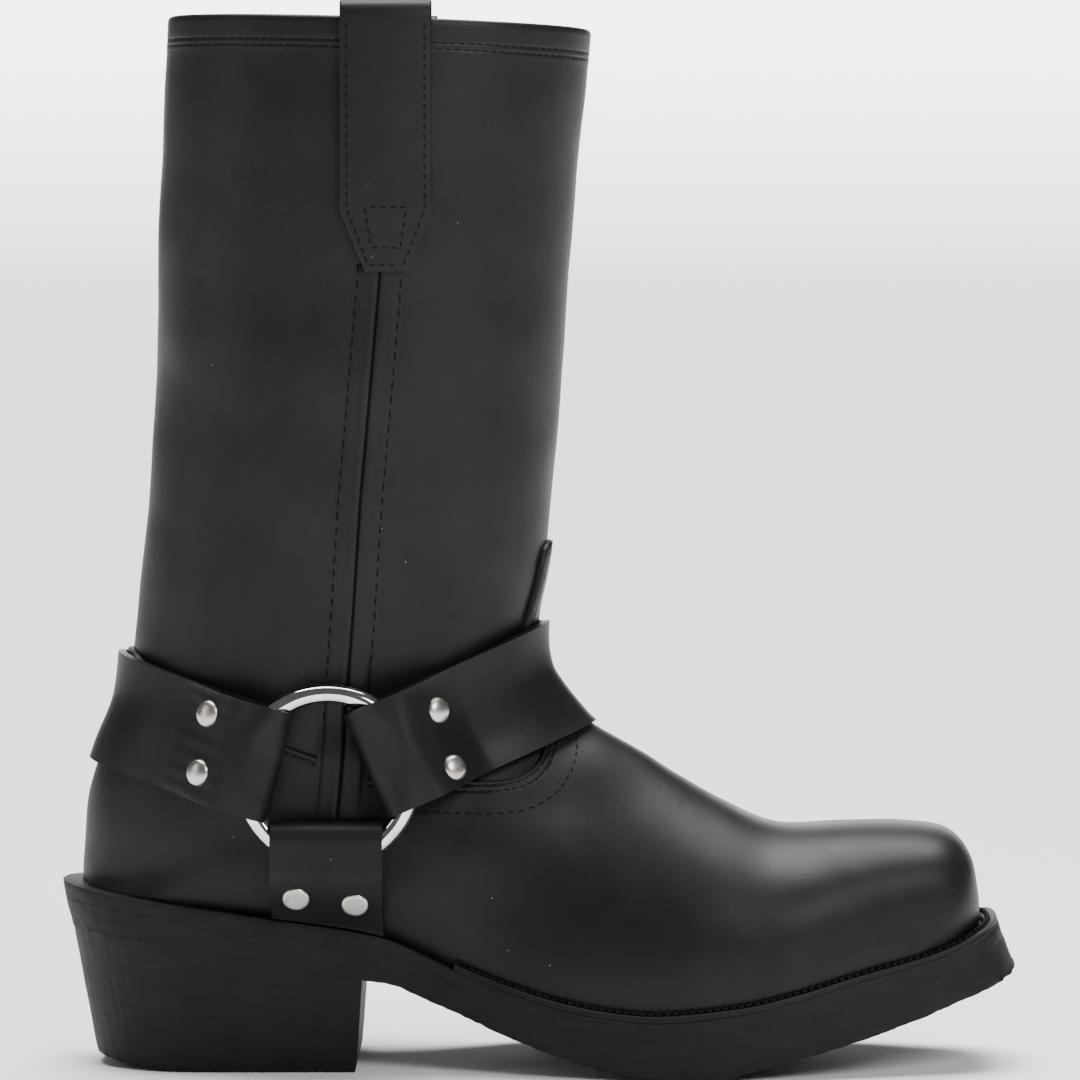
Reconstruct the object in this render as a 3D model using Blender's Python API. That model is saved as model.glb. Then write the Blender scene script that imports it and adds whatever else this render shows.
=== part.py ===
# Harness boot, right foot: a pull-on leather boot with a harness of straps and two rings.
# Metres, +X to the toe, +Y to the wearer's left (the inner side), +Z up.
# The origin is on the floor, in the middle of the heel's flat underside.

from math import cos, hypot, pi, radians, sin, sqrt

import bmesh
import bpy
import numpy as np
from mathutils import Vector
from mathutils.bvhtree import BVHTree

# Driving sizes of the last and the sole
LENGTH = 0.310
BALL_WIDTH = 0.100
HEEL_LIFT = 0.0412
TOE_SPRING = 0.0294
BALL_THICKNESS = 0.0183
MIDSOLE_THICKNESS = 0.0045
HEEL_REST_FROM_BACK = 0.060

# Driving sizes of the upper
INSTEP_RISE = 0.0850
SHAFT_RISE = 0.1940
SHAFT_WIDTH = 0.106
WALL = 0.0022
OVERLAY = 0.0016
GAP = 0.0003
HEEL_ROUND = 0.034
TOE_CORNER = 0.015

# Driving sizes of the sole's edge, the heel and the welt
SOLE_OVERHANG = 0.0062
SOLE_BACK_OVERHANG = 0.0086
SOLE_TOE_OVERHANG = 0.0080
TOE_FACE_LEAN = 0.0055
HEEL_BLOCK_LENGTH = 0.0985
HEEL_BACK_UNDERCUT = 0.0114
HEEL_SIDE_UNDERCUT = 0.0050
HEEL_BREAST_UNDERCUT = 0.0022
HEEL_REAR_BEVEL = 0.0030
HEEL_BEVEL_LENGTH = 0.024
WELT_HEIGHT = 0.0020
WELT_INSET = 0.0006
WELT_CLEARANCE = 0.0014
WELT_TURN = 0.020
INSOLE_THICKNESS = 0.0030
INSOLE_CLEARANCE = 0.0022

# Driving sizes of the harness
STRAP_WIDTH = 0.0355
STRAP_THICKNESS = 0.0026
RING_DIAMETER = 0.0590
RING_ROD = 0.0062
RING_CLEARANCE = 0.0004
LOOP_LENGTH = 0.031
LOOP_FLAT = 0.0155
STRAP_CLEARANCE = 0.0007
RIVET_DIAMETER = 0.0086
DOME_HEIGHT = 0.0021
FLAT_RIVET_HEIGHT = 0.0012

# Driving sizes of the pull straps and the raised side seams
PULL_WIDTH = 0.0288
PULL_TIP_WIDTH = 0.0130
PULL_LENGTH = 0.0800
PULL_TAPER = 0.0196
PULL_INSIDE = 0.0600
PULL_THICKNESS = 0.0024
PULL_RISE = 0.0030
PULL_CLEARANCE = 0.0007
SEAM_WIDTH = 0.0140
SEAM_HEIGHT = 0.0009

# Sole lines, a row for each place along the foot: place as a share of LENGTH,
# then shares of HEEL_LIFT and TOE_SPRING that raise it above the ball.
SOLE_TOP = [
    # place, lift, spring
    (0.000, 1.000, 0.000),
    (0.108, 0.886, 0.000),
    (0.222, 0.767, 0.000),
    (0.335, 0.626, 0.000),
    (0.381, 0.485, 0.000),
    (0.428, 0.323, 0.000),
    (0.474, 0.194, 0.000),
    (0.521, 0.092, 0.000),
    (0.568, 0.028, 0.000),
    (0.613, 0.000, 0.000),
    (0.705, 0.000, 0.085),
    (0.761, 0.000, 0.210),
    (0.819, 0.000, 0.381),
    (0.913, 0.000, 0.640),
    (0.957, 0.000, 0.844),
    (1.000, 0.000, 1.080),
]
SOLE_BOTTOM = [
    # place, lift, spring
    (0.000, 1.092, 0.000),
    (0.320, 0.728, 0.000),
    (0.343, 0.705, 0.000),
    (0.392, 0.558, 0.000),
    (0.444, 0.388, 0.000),
    (0.501, 0.218, 0.000),
    (0.546, 0.110, 0.000),
    (0.583, 0.045, 0.000),
    (0.615, 0.000, 0.000),
    (0.672, 0.000, 0.000),
    (0.723, 0.000, 0.110),
    (0.767, 0.000, 0.221),
    (0.855, 0.000, 0.476),
    (0.906, 0.000, 0.673),
    (0.963, 0.000, 0.905),
    (1.000, 0.000, 1.085),
]

# Feather line, where the upper meets the sole: place as a share of LENGTH,
# half widths as shares of BALL_WIDTH before the heel and the toe are rounded.
FEATHER = [
    # place, outer side, inner side
    (0.028, 0.305, 0.305),
    (0.108, 0.312, 0.308),
    (0.200, 0.318, 0.305),
    (0.290, 0.315, 0.290),
    (0.360, 0.320, 0.282),
    (0.420, 0.352, 0.318),
    (0.475, 0.398, 0.372),
    (0.532, 0.436, 0.425),
    (0.590, 0.468, 0.460),
    (0.640, 0.480, 0.470),
    (0.690, 0.478, 0.462),
    (0.740, 0.460, 0.440),
    (0.800, 0.420, 0.400),
    (0.860, 0.365, 0.352),
    (0.915, 0.315, 0.305),
    (0.954, 0.285, 0.280),
]

# Shaft sections, from the collar down: front and back as shares of LENGTH, their heights
# over the throat as shares of SHAFT_RISE, half widths as shares of SHAFT_WIDTH.
SHAFT_SECTIONS = [
    # front, front_rise, back, back_rise, outer, inner, widest, front_round, back_round
    (0.554, 0.981, 0.114, 1.003, 0.500, 0.500, 0.50, 2.10, 2.10),
    (0.542, 0.778, 0.107, 0.778, 0.498, 0.498, 0.50, 2.10, 2.10),
    (0.533, 0.611, 0.103, 0.611, 0.492, 0.492, 0.50, 2.08, 2.10),
    (0.525, 0.443, 0.101, 0.443, 0.480, 0.480, 0.50, 2.05, 2.10),
    (0.516, 0.274, 0.095, 0.274, 0.460, 0.458, 0.50, 2.00, 2.10),
    (0.507, 0.120, 0.086, 0.120, 0.436, 0.432, 0.50, 1.98, 2.10),
]

# Foot sections, fanned round the throat from the ankle to the toe: ridge and base as shares
# of LENGTH, heights over the sole as shares of INSTEP_RISE, half widths as shares of BALL_WIDTH.
# From the row whose base_rise is 0.000 on, the base lies on the feather line.
FOOT_SECTIONS = [
    # ridge, ridge_rise, base, base_rise, outer, inner, widest, ridge_round, base_round
    (0.4960, 1.068, 0.0785, 1.012, 0.432, 0.427, 0.50, 1.95, 2.10),
    (0.4945, 0.932, 0.0715, 0.755, 0.412, 0.406, 0.50, 1.92, 2.12),
    (0.4995, 0.825, 0.0480, 0.515, 0.396, 0.389, 0.50, 1.90, 2.15),
    (0.5075, 0.765, 0.0320, 0.285, 0.383, 0.375, 0.50, 1.90, 2.20),
    (0.5165, 0.718, 0.0278, 0.000, 0.374, 0.366, 0.50, 1.90, 2.25),
    (0.5265, 0.686, 0.0450, 0.000, 0.372, 0.363, 0.51, 1.90, 2.30),
    (0.5390, 0.664, 0.1060, 0.000, 0.374, 0.363, 0.54, 1.90, 2.40),
    (0.5550, 0.662, 0.2000, 0.000, 0.380, 0.364, 0.58, 1.90, 2.50),
    (0.5760, 0.676, 0.3060, 0.000, 0.390, 0.366, 0.62, 1.90, 2.60),
    (0.6060, 0.770, 0.4190, 0.000, 0.400, 0.372, 0.67, 1.92, 2.70),
    (0.6450, 0.818, 0.5320, 0.000, 0.455, 0.443, 0.73, 1.98, 2.80),
    (0.6900, 0.762, 0.6350, 0.000, 0.496, 0.482, 0.74, 2.05, 2.80),
    (0.7480, 0.635, 0.7220, 0.000, 0.484, 0.464, 0.72, 2.20, 2.80),
    (0.8130, 0.580, 0.7830, 0.000, 0.444, 0.424, 0.70, 2.40, 2.80),
    (0.8770, 0.532, 0.8320, 0.000, 0.396, 0.380, 0.68, 2.65, 2.80),
    (0.9230, 0.490, 0.8540, 0.000, 0.364, 0.352, 0.66, 2.90, 2.80),
    (0.9440, 0.400, 0.8680, 0.000, 0.347, 0.337, 0.66, 3.10, 2.80),
    (0.9515, 0.265, 0.8800, 0.000, 0.333, 0.323, 0.66, 3.10, 2.80),
    (0.9540, 0.115, 0.8900, 0.000, 0.322, 0.314, 0.66, 3.10, 2.80),
]

# Seams seen from the side: place as a share of LENGTH, height over the floor as a share of
# the collar's height.
SIDE_SEAM = [
    # place, height
    (0.345, 0.972),
    (0.338, 0.753),
    (0.326, 0.627),
    (0.318, 0.548),
    (0.310, 0.443),
    (0.299, 0.309),
    (0.290, 0.220),
    (0.284, 0.120),
]
VAMP_EDGE = [
    # place, height, from the side seam to the tip of the tongue
    (0.300, 0.2895),
    (0.370, 0.2810),
    (0.441, 0.2765),
    (0.464, 0.2765),
    (0.478, 0.2780),
    (0.490, 0.2835),
    (0.498, 0.2910),
    (0.504, 0.3050),
    (0.502, 0.3350),
    (0.491, 0.3750),
    (0.483, 0.4050),
    (0.482, 0.4240),
    (0.489, 0.4430),
    (0.496, 0.4650),
    (0.501, 0.4940),
    (0.511, 0.5070),
    (0.545, 0.5080),
]
COUNTER_EDGE = [
    # place, height, from the back centre to the side seam
    (0.040, 0.4040),
    (0.071, 0.4040),
    (0.100, 0.3810),
    (0.150, 0.3480),
    (0.200, 0.3250),
    (0.245, 0.3105),
    (0.297, 0.2930),
]

# The ring seen from the side: place and height of its centre.
RING_PLACE = (0.2845, 0.2855)

# The middle line of each strap: its far end's place and height, and its end at the ring.
# All that lies at the ring is given from its centre, forward and up, in ring diameters.
# Domed rivets are given from that end of their strap's line, along and across, in its widths.
HEEL_STRAP_LINE = [(0.044, 0.3470), (-0.3758, 0.0850)]
INSTEP_STRAP_LINE = [(0.530, 0.3775), (0.2390, 0.0771)]
HEEL_FOLD = [(-0.1750, 0.3572), (-0.3326, -0.2602)]
INSTEP_FOLD = [(0.0746, 0.3343), (0.3151, -0.2316)]
STIRRUP_FOLD = (-0.0101, -0.2373)
HEEL_RIVETS = [(0.5420, 0.2780), (0.4740, -0.2480)]
INSTEP_RIVETS = [(0.7092, 0.1930), (0.6460, -0.3328)]
STIRRUP_RIVETS = [(-0.1708, -0.6489), (0.1444, -0.6832)]
HEEL_STRAP_AXIS = 0.22
INSTEP_STRAP_AXIS = 0.34
PULL_X = 0.3445
SEAM_TOP = 0.748
SEAM_BOTTOM = 0.312
WELT_START = 0.38

SIDES = {"lateral": -1, "medial": 1}

for old in list(bpy.data.objects):
    bpy.data.objects.remove(old)


def material(name, colour, roughness, metallic=0.0):
    made = bpy.data.materials.new(name)
    made.use_nodes = True
    shader = made.node_tree.nodes["Principled BSDF"]
    shader.inputs["Base Color"].default_value = (*colour, 1.0)
    shader.inputs["Roughness"].default_value = roughness
    shader.inputs["Metallic"].default_value = metallic
    return made


def add_object(name, verts, faces, colour, roughness, metallic=0.0):
    """One closed solid with its own material, its faces turned outward."""
    mesh = bpy.data.meshes.new(name)
    mesh.from_pydata([tuple(v) for v in verts], [], faces)
    body = bmesh.new()
    body.from_mesh(mesh)
    bmesh.ops.remove_doubles(body, verts=body.verts, dist=1e-6)
    bmesh.ops.dissolve_degenerate(body, edges=body.edges, dist=1e-7)
    bmesh.ops.recalc_face_normals(body, faces=body.faces)
    body.to_mesh(mesh)
    body.free()
    mesh.shade_smooth()
    mesh.set_sharp_from_angle(angle=radians(40))
    made = bpy.data.objects.new(name, mesh)
    bpy.context.scene.collection.objects.link(made)
    made.data.materials.append(material(name, colour, roughness, metallic))
    return made


def guide(name, verts, faces):
    made = add_object(name, verts, faces, (0.5, 0.5, 0.5), 0.5)
    made.hide_render = True
    made.display_type = "WIRE"
    return made


def boolean(body, cutter, operation, solver="EXACT"):
    step = body.modifiers.new(cutter.name, "BOOLEAN")
    step.object = cutter
    step.operation = operation
    step.solver = solver


# Curves through the tables

def smooth(places, values, at):
    """Piecewise cubic through the rows that never overshoots them."""
    places = np.asarray(places, float)
    values = np.asarray(values, float)
    at = np.clip(np.asarray(at, float), places[0], places[-1])
    steps = np.diff(places)
    slopes = np.diff(values) / steps
    tangents = np.zeros(len(values))
    same = slopes[:-1] * slopes[1:] > 0
    first = 2 * steps[1:] + steps[:-1]
    second = steps[1:] + 2 * steps[:-1]
    with np.errstate(divide="ignore", invalid="ignore"):
        mean = (first + second) / (first / slopes[:-1] + second / slopes[1:])
    tangents[1:-1] = np.where(same, mean, 0.0)
    tangents[0] = slopes[0]
    tangents[-1] = slopes[-1]
    index = np.clip(np.searchsorted(places, at, side="right") - 1, 0, len(places) - 2)
    span = steps[index]
    part = (at - places[index]) / span
    keep = 1 - part
    return (values[index] * keep * keep * (1 + 2 * part)
            + values[index + 1] * part * part * (3 - 2 * part)
            + span * tangents[index] * part * keep * keep
            - span * tangents[index + 1] * part * part * keep)


def flowing(values, at):
    """Rounder curve through evenly numbered rows, for the ridge of the foot and the widths."""
    values = np.asarray(values, float)
    tangents = np.gradient(values)
    at = np.clip(np.asarray(at, float), 0, len(values) - 1)
    index = np.clip(at.astype(int), 0, len(values) - 2)
    part = at - index
    keep = 1 - part
    return (values[index] * keep * keep * (1 + 2 * part)
            + values[index + 1] * part * part * (3 - 2 * part)
            + tangents[index] * part * keep * keep
            - tangents[index + 1] * part * part * keep)


def world_x(place):
    return place * LENGTH - HEEL_REST_FROM_BACK


def place_of(x):
    return (x + HEEL_REST_FROM_BACK) / LENGTH


def sole_line(table, x):
    place = place_of(np.asarray(x, float))
    rows = np.array(table)
    lift = smooth(rows[:, 0], rows[:, 1], place)
    spring = smooth(rows[:, 0], rows[:, 2], place)
    return lift * HEEL_LIFT + spring * TOE_SPRING


def spread(start, stop, step):
    return np.linspace(start, stop, max(2, int(round((stop - start) / step)) + 1))


# Sections of the upper that the solids use, by row number, and places round each section
ALONG = np.concatenate([spread(0, 5, 1), spread(5, 18, 0.5)[1:], spread(18, 24, 1)[1:]])
AROUND = np.linspace(-1, 1, 21)
HEEL_SECTION = len(SHAFT_SECTIONS) + [row[3] for row in FOOT_SECTIONS].index(0.0)

# The seat of the upper on the sole is straight between the sections' stations, so that
# everything on it lies parallel to it.
BASE_PLACES = [row[2] for row in SHAFT_SECTIONS + FOOT_SECTIONS]
SEAT_PLACES = smooth(np.arange(len(BASE_PLACES)), BASE_PLACES, ALONG[ALONG >= HEEL_SECTION])
SEAT_X = world_x(np.concatenate([[0.0], SEAT_PLACES, [0.92, 0.954, 1.02]]))


def sole_top(x):
    return BALL_THICKNESS + np.interp(x, SEAT_X, sole_line(SOLE_TOP, SEAT_X))


def sole_bottom(x):
    return sole_line(SOLE_BOTTOM, x)


FEATHER_BACK = world_x(FEATHER[0][0])
FEATHER_TOE = world_x(FEATHER[-1][0])
SEAT = float(sole_top(FEATHER_BACK))
THROAT = SEAT + INSTEP_RISE
COLLAR = THROAT + SHAFT_RISE


def rounding(depth, radius, power):
    """Share of the full width at this depth in from a rounded end."""
    inner = np.clip(1 - depth / radius, 0, 1)
    return (1 - inner ** power) ** (1 / power)


def half_width(x, side, grow=0.0, back=0.0, toe=0.0):
    """Half width of the feather line, or of an edge that stands out from it."""
    x = np.asarray(x, float)
    rows = np.array(FEATHER)
    column = 1 if side < 0 else 2
    full = smooth(rows[:, 0], rows[:, column], place_of(x)) * BALL_WIDTH + grow
    from_back = np.clip(x - (FEATHER_BACK - back), 0, None)
    from_toe = np.clip(FEATHER_TOE + toe - x, 0, None)
    return (full * rounding(from_back, HEEL_ROUND + back, 2.2)
            * rounding(from_toe, TOE_CORNER + toe / 2, 2.7))


# The upper's own surface

def sections():
    rows = []
    for front, front_rise, back, back_rise, outer, inner, widest, first, second in SHAFT_SECTIONS:
        rows.append((world_x(front), THROAT + front_rise * SHAFT_RISE,
                     world_x(back), THROAT + back_rise * SHAFT_RISE,
                     outer * SHAFT_WIDTH, inner * SHAFT_WIDTH, widest, first, second))
    for ridge, ridge_rise, base, base_rise, outer, inner, widest, first, second in FOOT_SECTIONS:
        floor = float(sole_top(world_x(base)))
        rows.append((world_x(ridge), floor + ridge_rise * INSTEP_RISE,
                     world_x(base), floor + base_rise * INSTEP_RISE,
                     outer * BALL_WIDTH, inner * BALL_WIDTH, widest, first, second))
    return np.array(rows)


SECTIONS = sections()
LAST_SECTION = len(SECTIONS) - 1


def surface(along, around):
    """Points of the upper: along runs over the sections, around from -1 (outer) to 1 (inner)."""
    along = np.asarray(along, float)[:, None]
    around = np.asarray(around, float)[None, :]
    rows = SECTIONS
    numbers = np.arange(len(rows))
    ridge_x = flowing(rows[:, 0], along)
    ridge_z = flowing(rows[:, 1], along)
    base_x = smooth(numbers, rows[:, 2], along)
    base_z = smooth(numbers, rows[:, 3], along)
    on_feather = along >= HEEL_SECTION - 1e-6
    base_z = np.where(on_feather, sole_top(base_x) + GAP, base_z)
    side = np.where(around < 0, -1, 1)
    wide = np.where(side < 0, flowing(rows[:, 4], along), flowing(rows[:, 5], along))
    foot = np.where(side < 0, half_width(base_x, -1), half_width(base_x, 1))
    foot = np.where(on_feather, foot, 0.0)
    widest = smooth(numbers, rows[:, 6], along)
    first = 2 / smooth(numbers, rows[:, 7], along)
    second = 2 / smooth(numbers, rows[:, 8], along)
    angle = np.abs(around) * pi
    near = np.clip(angle, 0, pi / 2)
    near_cos = np.clip(np.cos(near), 0, 1) ** first
    near_sin = np.clip(np.sin(near), 0, 1) ** first
    # Below its widest place a section is an oval that the feather line cuts off
    cut = np.clip(foot / wide, 0, 0.96)
    last_angle = np.arccos(cut ** (1 / second))
    far = np.clip(angle - pi / 2, 0, pi / 2) / (pi / 2) * last_angle
    far_cos = np.clip(np.cos(far), 0, 1) ** second
    far_share = (np.clip(np.sin(far), 0, 1) / np.sin(last_angle)) ** second
    share = np.where(angle <= pi / 2, widest * (1 - near_cos), widest + (1 - widest) * far_share)
    reach = np.where(angle <= pi / 2, wide * near_sin, wide * far_cos + (foot - wide * cut) * far_share)
    x = ridge_x + (base_x - ridge_x) * share
    z = ridge_z + (base_z - ridge_z) * share
    last = np.clip((along - (LAST_SECTION - 1.5)) / 1.5, 0, 1)
    last = last * last * (3 - 2 * last)
    edge = np.where(side < 0, half_width(x, -1), half_width(x, 1))
    reach = reach + (edge - reach) * last
    z = z + (sole_top(x) + GAP - z) * last ** 6
    return np.stack([x, side * reach, z], axis=-1)


def surface_mesh(along, around):
    """The surface as one open mesh, welded at the back, with its outward normals."""
    grid = surface(along, around)
    rows, columns = grid.shape[:2]
    body = bmesh.new()
    verts = [[body.verts.new(grid[i, j]) for j in range(columns)] for i in range(rows)]
    for i in range(rows - 1):
        for j in range(columns - 1):
            a, b, c, d = verts[i][j], verts[i + 1][j], verts[i + 1][j + 1], verts[i][j + 1]
            # Both sides are cut into the same triangles, mirrored
            pair = ((a, b, d), (b, c, d)) if around[j] < 0 else ((a, b, c), (a, c, d))
            for corners in pair:
                body.faces.new(corners)
    bmesh.ops.remove_doubles(body, verts=body.verts, dist=2e-5)
    body.normal_update()
    body.verts.index_update()
    body.verts.ensure_lookup_table()
    points = np.array([v.co for v in body.verts])
    normals = np.array([v.normal for v in body.verts])
    # The wall stands upright where it meets the sole
    on_sole = points[:, 2] < sole_top(points[:, 0]) + 2 * GAP
    normals[on_sole, 2] = 0
    normals /= np.linalg.norm(normals, axis=1)[:, None]
    faces = [[v.index for v in face.verts] for face in body.faces]
    rim = [(edge.link_loops[0].vert.index, edge.link_loops[0].link_loop_next.vert.index)
           for edge in body.edges if edge.is_boundary]
    body.free()
    top = points[np.argmax(points[:, 1])]
    if normals[np.argmax(points[:, 1])][1] * top[1] < 0:
        normals = -normals
    return points, normals, faces, rim


def shell(along, around, low, high):
    """Closed solid between two offsets of the surface."""
    points, normals, faces, rim = surface_mesh(along, around)
    count = len(points)
    verts = np.concatenate([points + normals * low, points + normals * high])
    solid = [face[::-1] for face in faces]
    solid += [[v + count for v in face] for face in faces]
    solid += [[a, b, b + count, a + count] for a, b in rim]
    return verts, solid


def extruded(points, low, high):
    """Prism of an outline seen from the side, from y = low to y = high."""
    count = len(points)
    verts = [(x, low, z) for x, z in points] + [(x, high, z) for x, z in points]
    faces = [list(range(count))[::-1], [i + count for i in range(count)]]
    faces += [[i, (i + 1) % count, (i + 1) % count + count, i + count] for i in range(count)]
    return verts, faces


def seen_from_side(rows):
    return [(world_x(place), height * COLLAR) for place, height in rows]


def above_sole(front, back, lift):
    """The seat line from front to back, raised a little."""
    inside = [x for x in SEAT_X[::-1] if back < x < front]
    return [(float(x), float(sole_top(x)) + lift) for x in [front] + inside + [back]]


def seam_x(z):
    rows = np.array(seen_from_side(SIDE_SEAM))[::-1]
    return float(np.interp(z, rows[:, 1], rows[:, 0]))


LEATHER = (0.021, 0.021, 0.022)
RUBBER = (0.014, 0.014, 0.015)
NICKEL = (0.58, 0.55, 0.51)
CHROME = (0.78, 0.78, 0.79)
REACH = BALL_WIDTH


def between(first, second):
    """Closed solid between two grids of points, row by row."""
    first = np.asarray(first, float)
    second = np.asarray(second, float)
    rows, columns = first.shape[:2]
    count = rows * columns
    verts = np.concatenate([first.reshape(-1, 3), second.reshape(-1, 3)])
    faces = []
    for i in range(rows - 1):
        for j in range(columns - 1):
            a = i * columns + j
            quad = [a, a + 1, a + columns + 1, a + columns]
            faces += [quad, [v + count for v in quad[::-1]]]
    border = [(0, j) for j in range(columns)]
    border += [(i, columns - 1) for i in range(1, rows)]
    border += [(rows - 1, j) for j in range(columns - 2, -1, -1)]
    border += [(i, 0) for i in range(rows - 2, 0, -1)]
    loop = [i * columns + j for i, j in border]
    for a, b in zip(loop, loop[1:] + loop[:1]):
        faces.append([a, a + count, b + count, b])
    return verts, faces


# Upper, vamp, counter and side seams

def make_upper():
    verts, faces = shell(ALONG, AROUND, -WALL, 0.0)
    return add_object("upper", verts, faces, LEATHER, 0.5)


def make_vamp():
    verts, faces = shell(ALONG[ALONG >= 4], AROUND, GAP, GAP + OVERLAY)
    vamp = add_object("vamp", verts, faces, LEATHER, 0.48)
    edge = seen_from_side(VAMP_EDGE)
    edge[0] = (seam_x(edge[0][1]) + GAP, edge[0][1])
    heel = seam_x(float(sole_top(edge[0][0]))) + GAP
    front = world_x(1.05)
    outline = edge + [(front, edge[-1][1])] + above_sole(front, heel, 2 * GAP)
    cutter = guide("vamp_outline", *extruded(outline, -REACH, REACH))
    boolean(vamp, cutter, "INTERSECT")
    return vamp


def make_counter():
    near_heel = ALONG[(ALONG >= 5) & (ALONG <= 15)]
    verts, faces = shell(near_heel, AROUND, GAP, GAP + OVERLAY)
    counter = add_object("counter", verts, faces, LEATHER, 0.48)
    edge = seen_from_side(COUNTER_EDGE)
    edge[-1] = (seam_x(edge[-1][1]) - GAP, edge[-1][1])
    heel = seam_x(float(sole_top(edge[-1][0]))) - GAP
    back = world_x(-0.05)
    outline = [(back, edge[0][1])] + edge + above_sole(heel, back, 2 * GAP)
    cutter = guide("counter_outline", *extruded(outline, -REACH, REACH))
    boolean(counter, cutter, "INTERSECT", "MANIFOLD")
    return counter


def make_side_seam(name, side):
    columns = AROUND[(AROUND * side > 0.3) & (AROUND * side < 0.7)]
    verts, faces = shell(ALONG[(ALONG >= 1) & (ALONG <= 12)], columns, GAP, GAP + SEAM_HEIGHT)
    band = add_object("side_seam_" + name, verts, faces, LEATHER, 0.5)
    heights = spread(SEAM_BOTTOM * COLLAR, SEAM_TOP * COLLAR, 0.025)
    half = SEAM_WIDTH / 2
    outline = [(seam_x(z) - half, z) for z in heights]
    outline += [(seam_x(z) + half, z) for z in heights[::-1]]
    low, high = sorted((0.0, side * REACH))
    cutter = guide("side_seam_outline_" + name, *extruded(outline, low, high))
    boolean(band, cutter, "INTERSECT")
    return band


# Sole, heel, welt and insole

SOLE_BACK = FEATHER_BACK - SOLE_BACK_OVERHANG
BACK_LEAN = HEEL_BACK_UNDERCUT / float(sole_top(SOLE_BACK))
TOE_LEAN = TOE_FACE_LEAN / BALL_THICKNESS
SOLE_TOE = FEATHER_TOE + SOLE_TOE_OVERHANG
END_STATIONS = np.array([0.0, 0.0008, 0.003, 0.0065, 0.012, 0.020])
END_LENGTH = 0.022
FLAT_SPOT = np.array([world_x(place) for place, lift, spring in SOLE_BOTTOM if lift == spring == 0])


def stations(back, toe):
    """Places along the sole: those of the seat line, closer together at the rounded ends."""
    own = np.concatenate([back + END_STATIONS, toe - END_STATIONS])
    seat = [x for x in SEAT_X if back + END_LENGTH < x < toe - END_LENGTH]
    return np.sort(np.concatenate([own, seat]))


def edge_line(x, grow, back, toe):
    """An outline round the sole: its stations, outer and inner half widths."""
    return x, half_width(x, -1, grow, back, toe), half_width(x, 1, grow, back, toe)


def leaning(x, depth):
    """The sole's edge at some depth, where the heel's back and the toe lean."""
    back = SOLE_BACK_OVERHANG - depth * BACK_LEAN
    toe = SOLE_TOE_OVERHANG + depth * TOE_LEAN
    share = (x - SOLE_BACK) / (SOLE_TOE - SOLE_BACK)
    moved = FEATHER_BACK - back + share * (FEATHER_TOE + toe - FEATHER_BACK + back)
    return edge_line(moved, SOLE_OVERHANG, back, toe)


def upper_ends(x):
    """The stations whose lower ends lie at these places along the sole's underside."""
    low_back, low_toe = leaning(np.array([SOLE_BACK, SOLE_TOE]), BALL_THICKNESS)[0]
    return SOLE_BACK + (x - low_back) / (low_toe - low_back) * (SOLE_TOE - SOLE_BACK)


def layer(line, z):
    """Rows of points across the sole along a line of stations."""
    x, outer, inner = line
    return np.stack([np.stack([x, -outer, z], axis=1), np.stack([x, inner, z], axis=1)], axis=1)


def make_midsole():
    x = stations(SOLE_BACK, SOLE_TOE)
    verts, faces = between(layer(leaning(x, 0), sole_top(x)),
                           layer(leaning(x, MIDSOLE_THICKNESS), sole_top(x) - MIDSOLE_THICKNESS))
    return add_object("midsole", verts, faces, RUBBER, 0.6)


def make_outsole():
    depth = MIDSOLE_THICKNESS + GAP
    x = np.sort(np.append(stations(SOLE_BACK, SOLE_TOE), upper_ends(FLAT_SPOT)))
    under = leaning(x, BALL_THICKNESS)
    verts, faces = between(layer(leaning(x, depth), sole_top(x) - depth),
                           layer(under, sole_bottom(under[0])))
    return add_object("outsole", verts, faces, RUBBER, 0.6)


def make_heel():
    under = leaning(stations(SOLE_BACK, SOLE_TOE), BALL_THICKNESS)[0]
    back = under[0]
    breast = SOLE_BACK + HEEL_BLOCK_LENGTH
    x = np.append(under[under < breast - 0.002], breast)
    top = edge_line(x, SOLE_OVERHANG, FEATHER_BACK - back, SOLE_TOE_OVERHANG)
    seat = np.interp(x, under, sole_bottom(under)) - GAP
    low_back = SOLE_BACK + HEEL_BACK_UNDERCUT
    low_breast = breast - HEEL_BREAST_UNDERCUT
    low_x = low_back + (x - back) * (low_breast - low_back) / (breast - back)
    narrow = 1 - HEEL_SIDE_UNDERCUT / top[1].max()
    bevel = HEEL_REAR_BEVEL * np.clip(1 - (low_x - low_back) / HEEL_BEVEL_LENGTH, 0, 1)
    verts, faces = between(layer(top, seat), layer((low_x, top[1] * narrow, top[2] * narrow), bevel))
    return add_object("heel", verts, faces, RUBBER, 0.65)


def make_insole():
    inset = WALL + INSOLE_CLEARANCE
    x = stations(FEATHER_BACK + inset, FEATHER_TOE - inset)
    line = edge_line(x, -inset, -inset, -inset)
    verts, faces = between(layer(line, sole_top(x) + GAP + INSOLE_THICKNESS),
                           layer(line, sole_top(x) + GAP))
    return add_object("insole", verts, faces, (0.08, 0.07, 0.06), 0.8)


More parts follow.
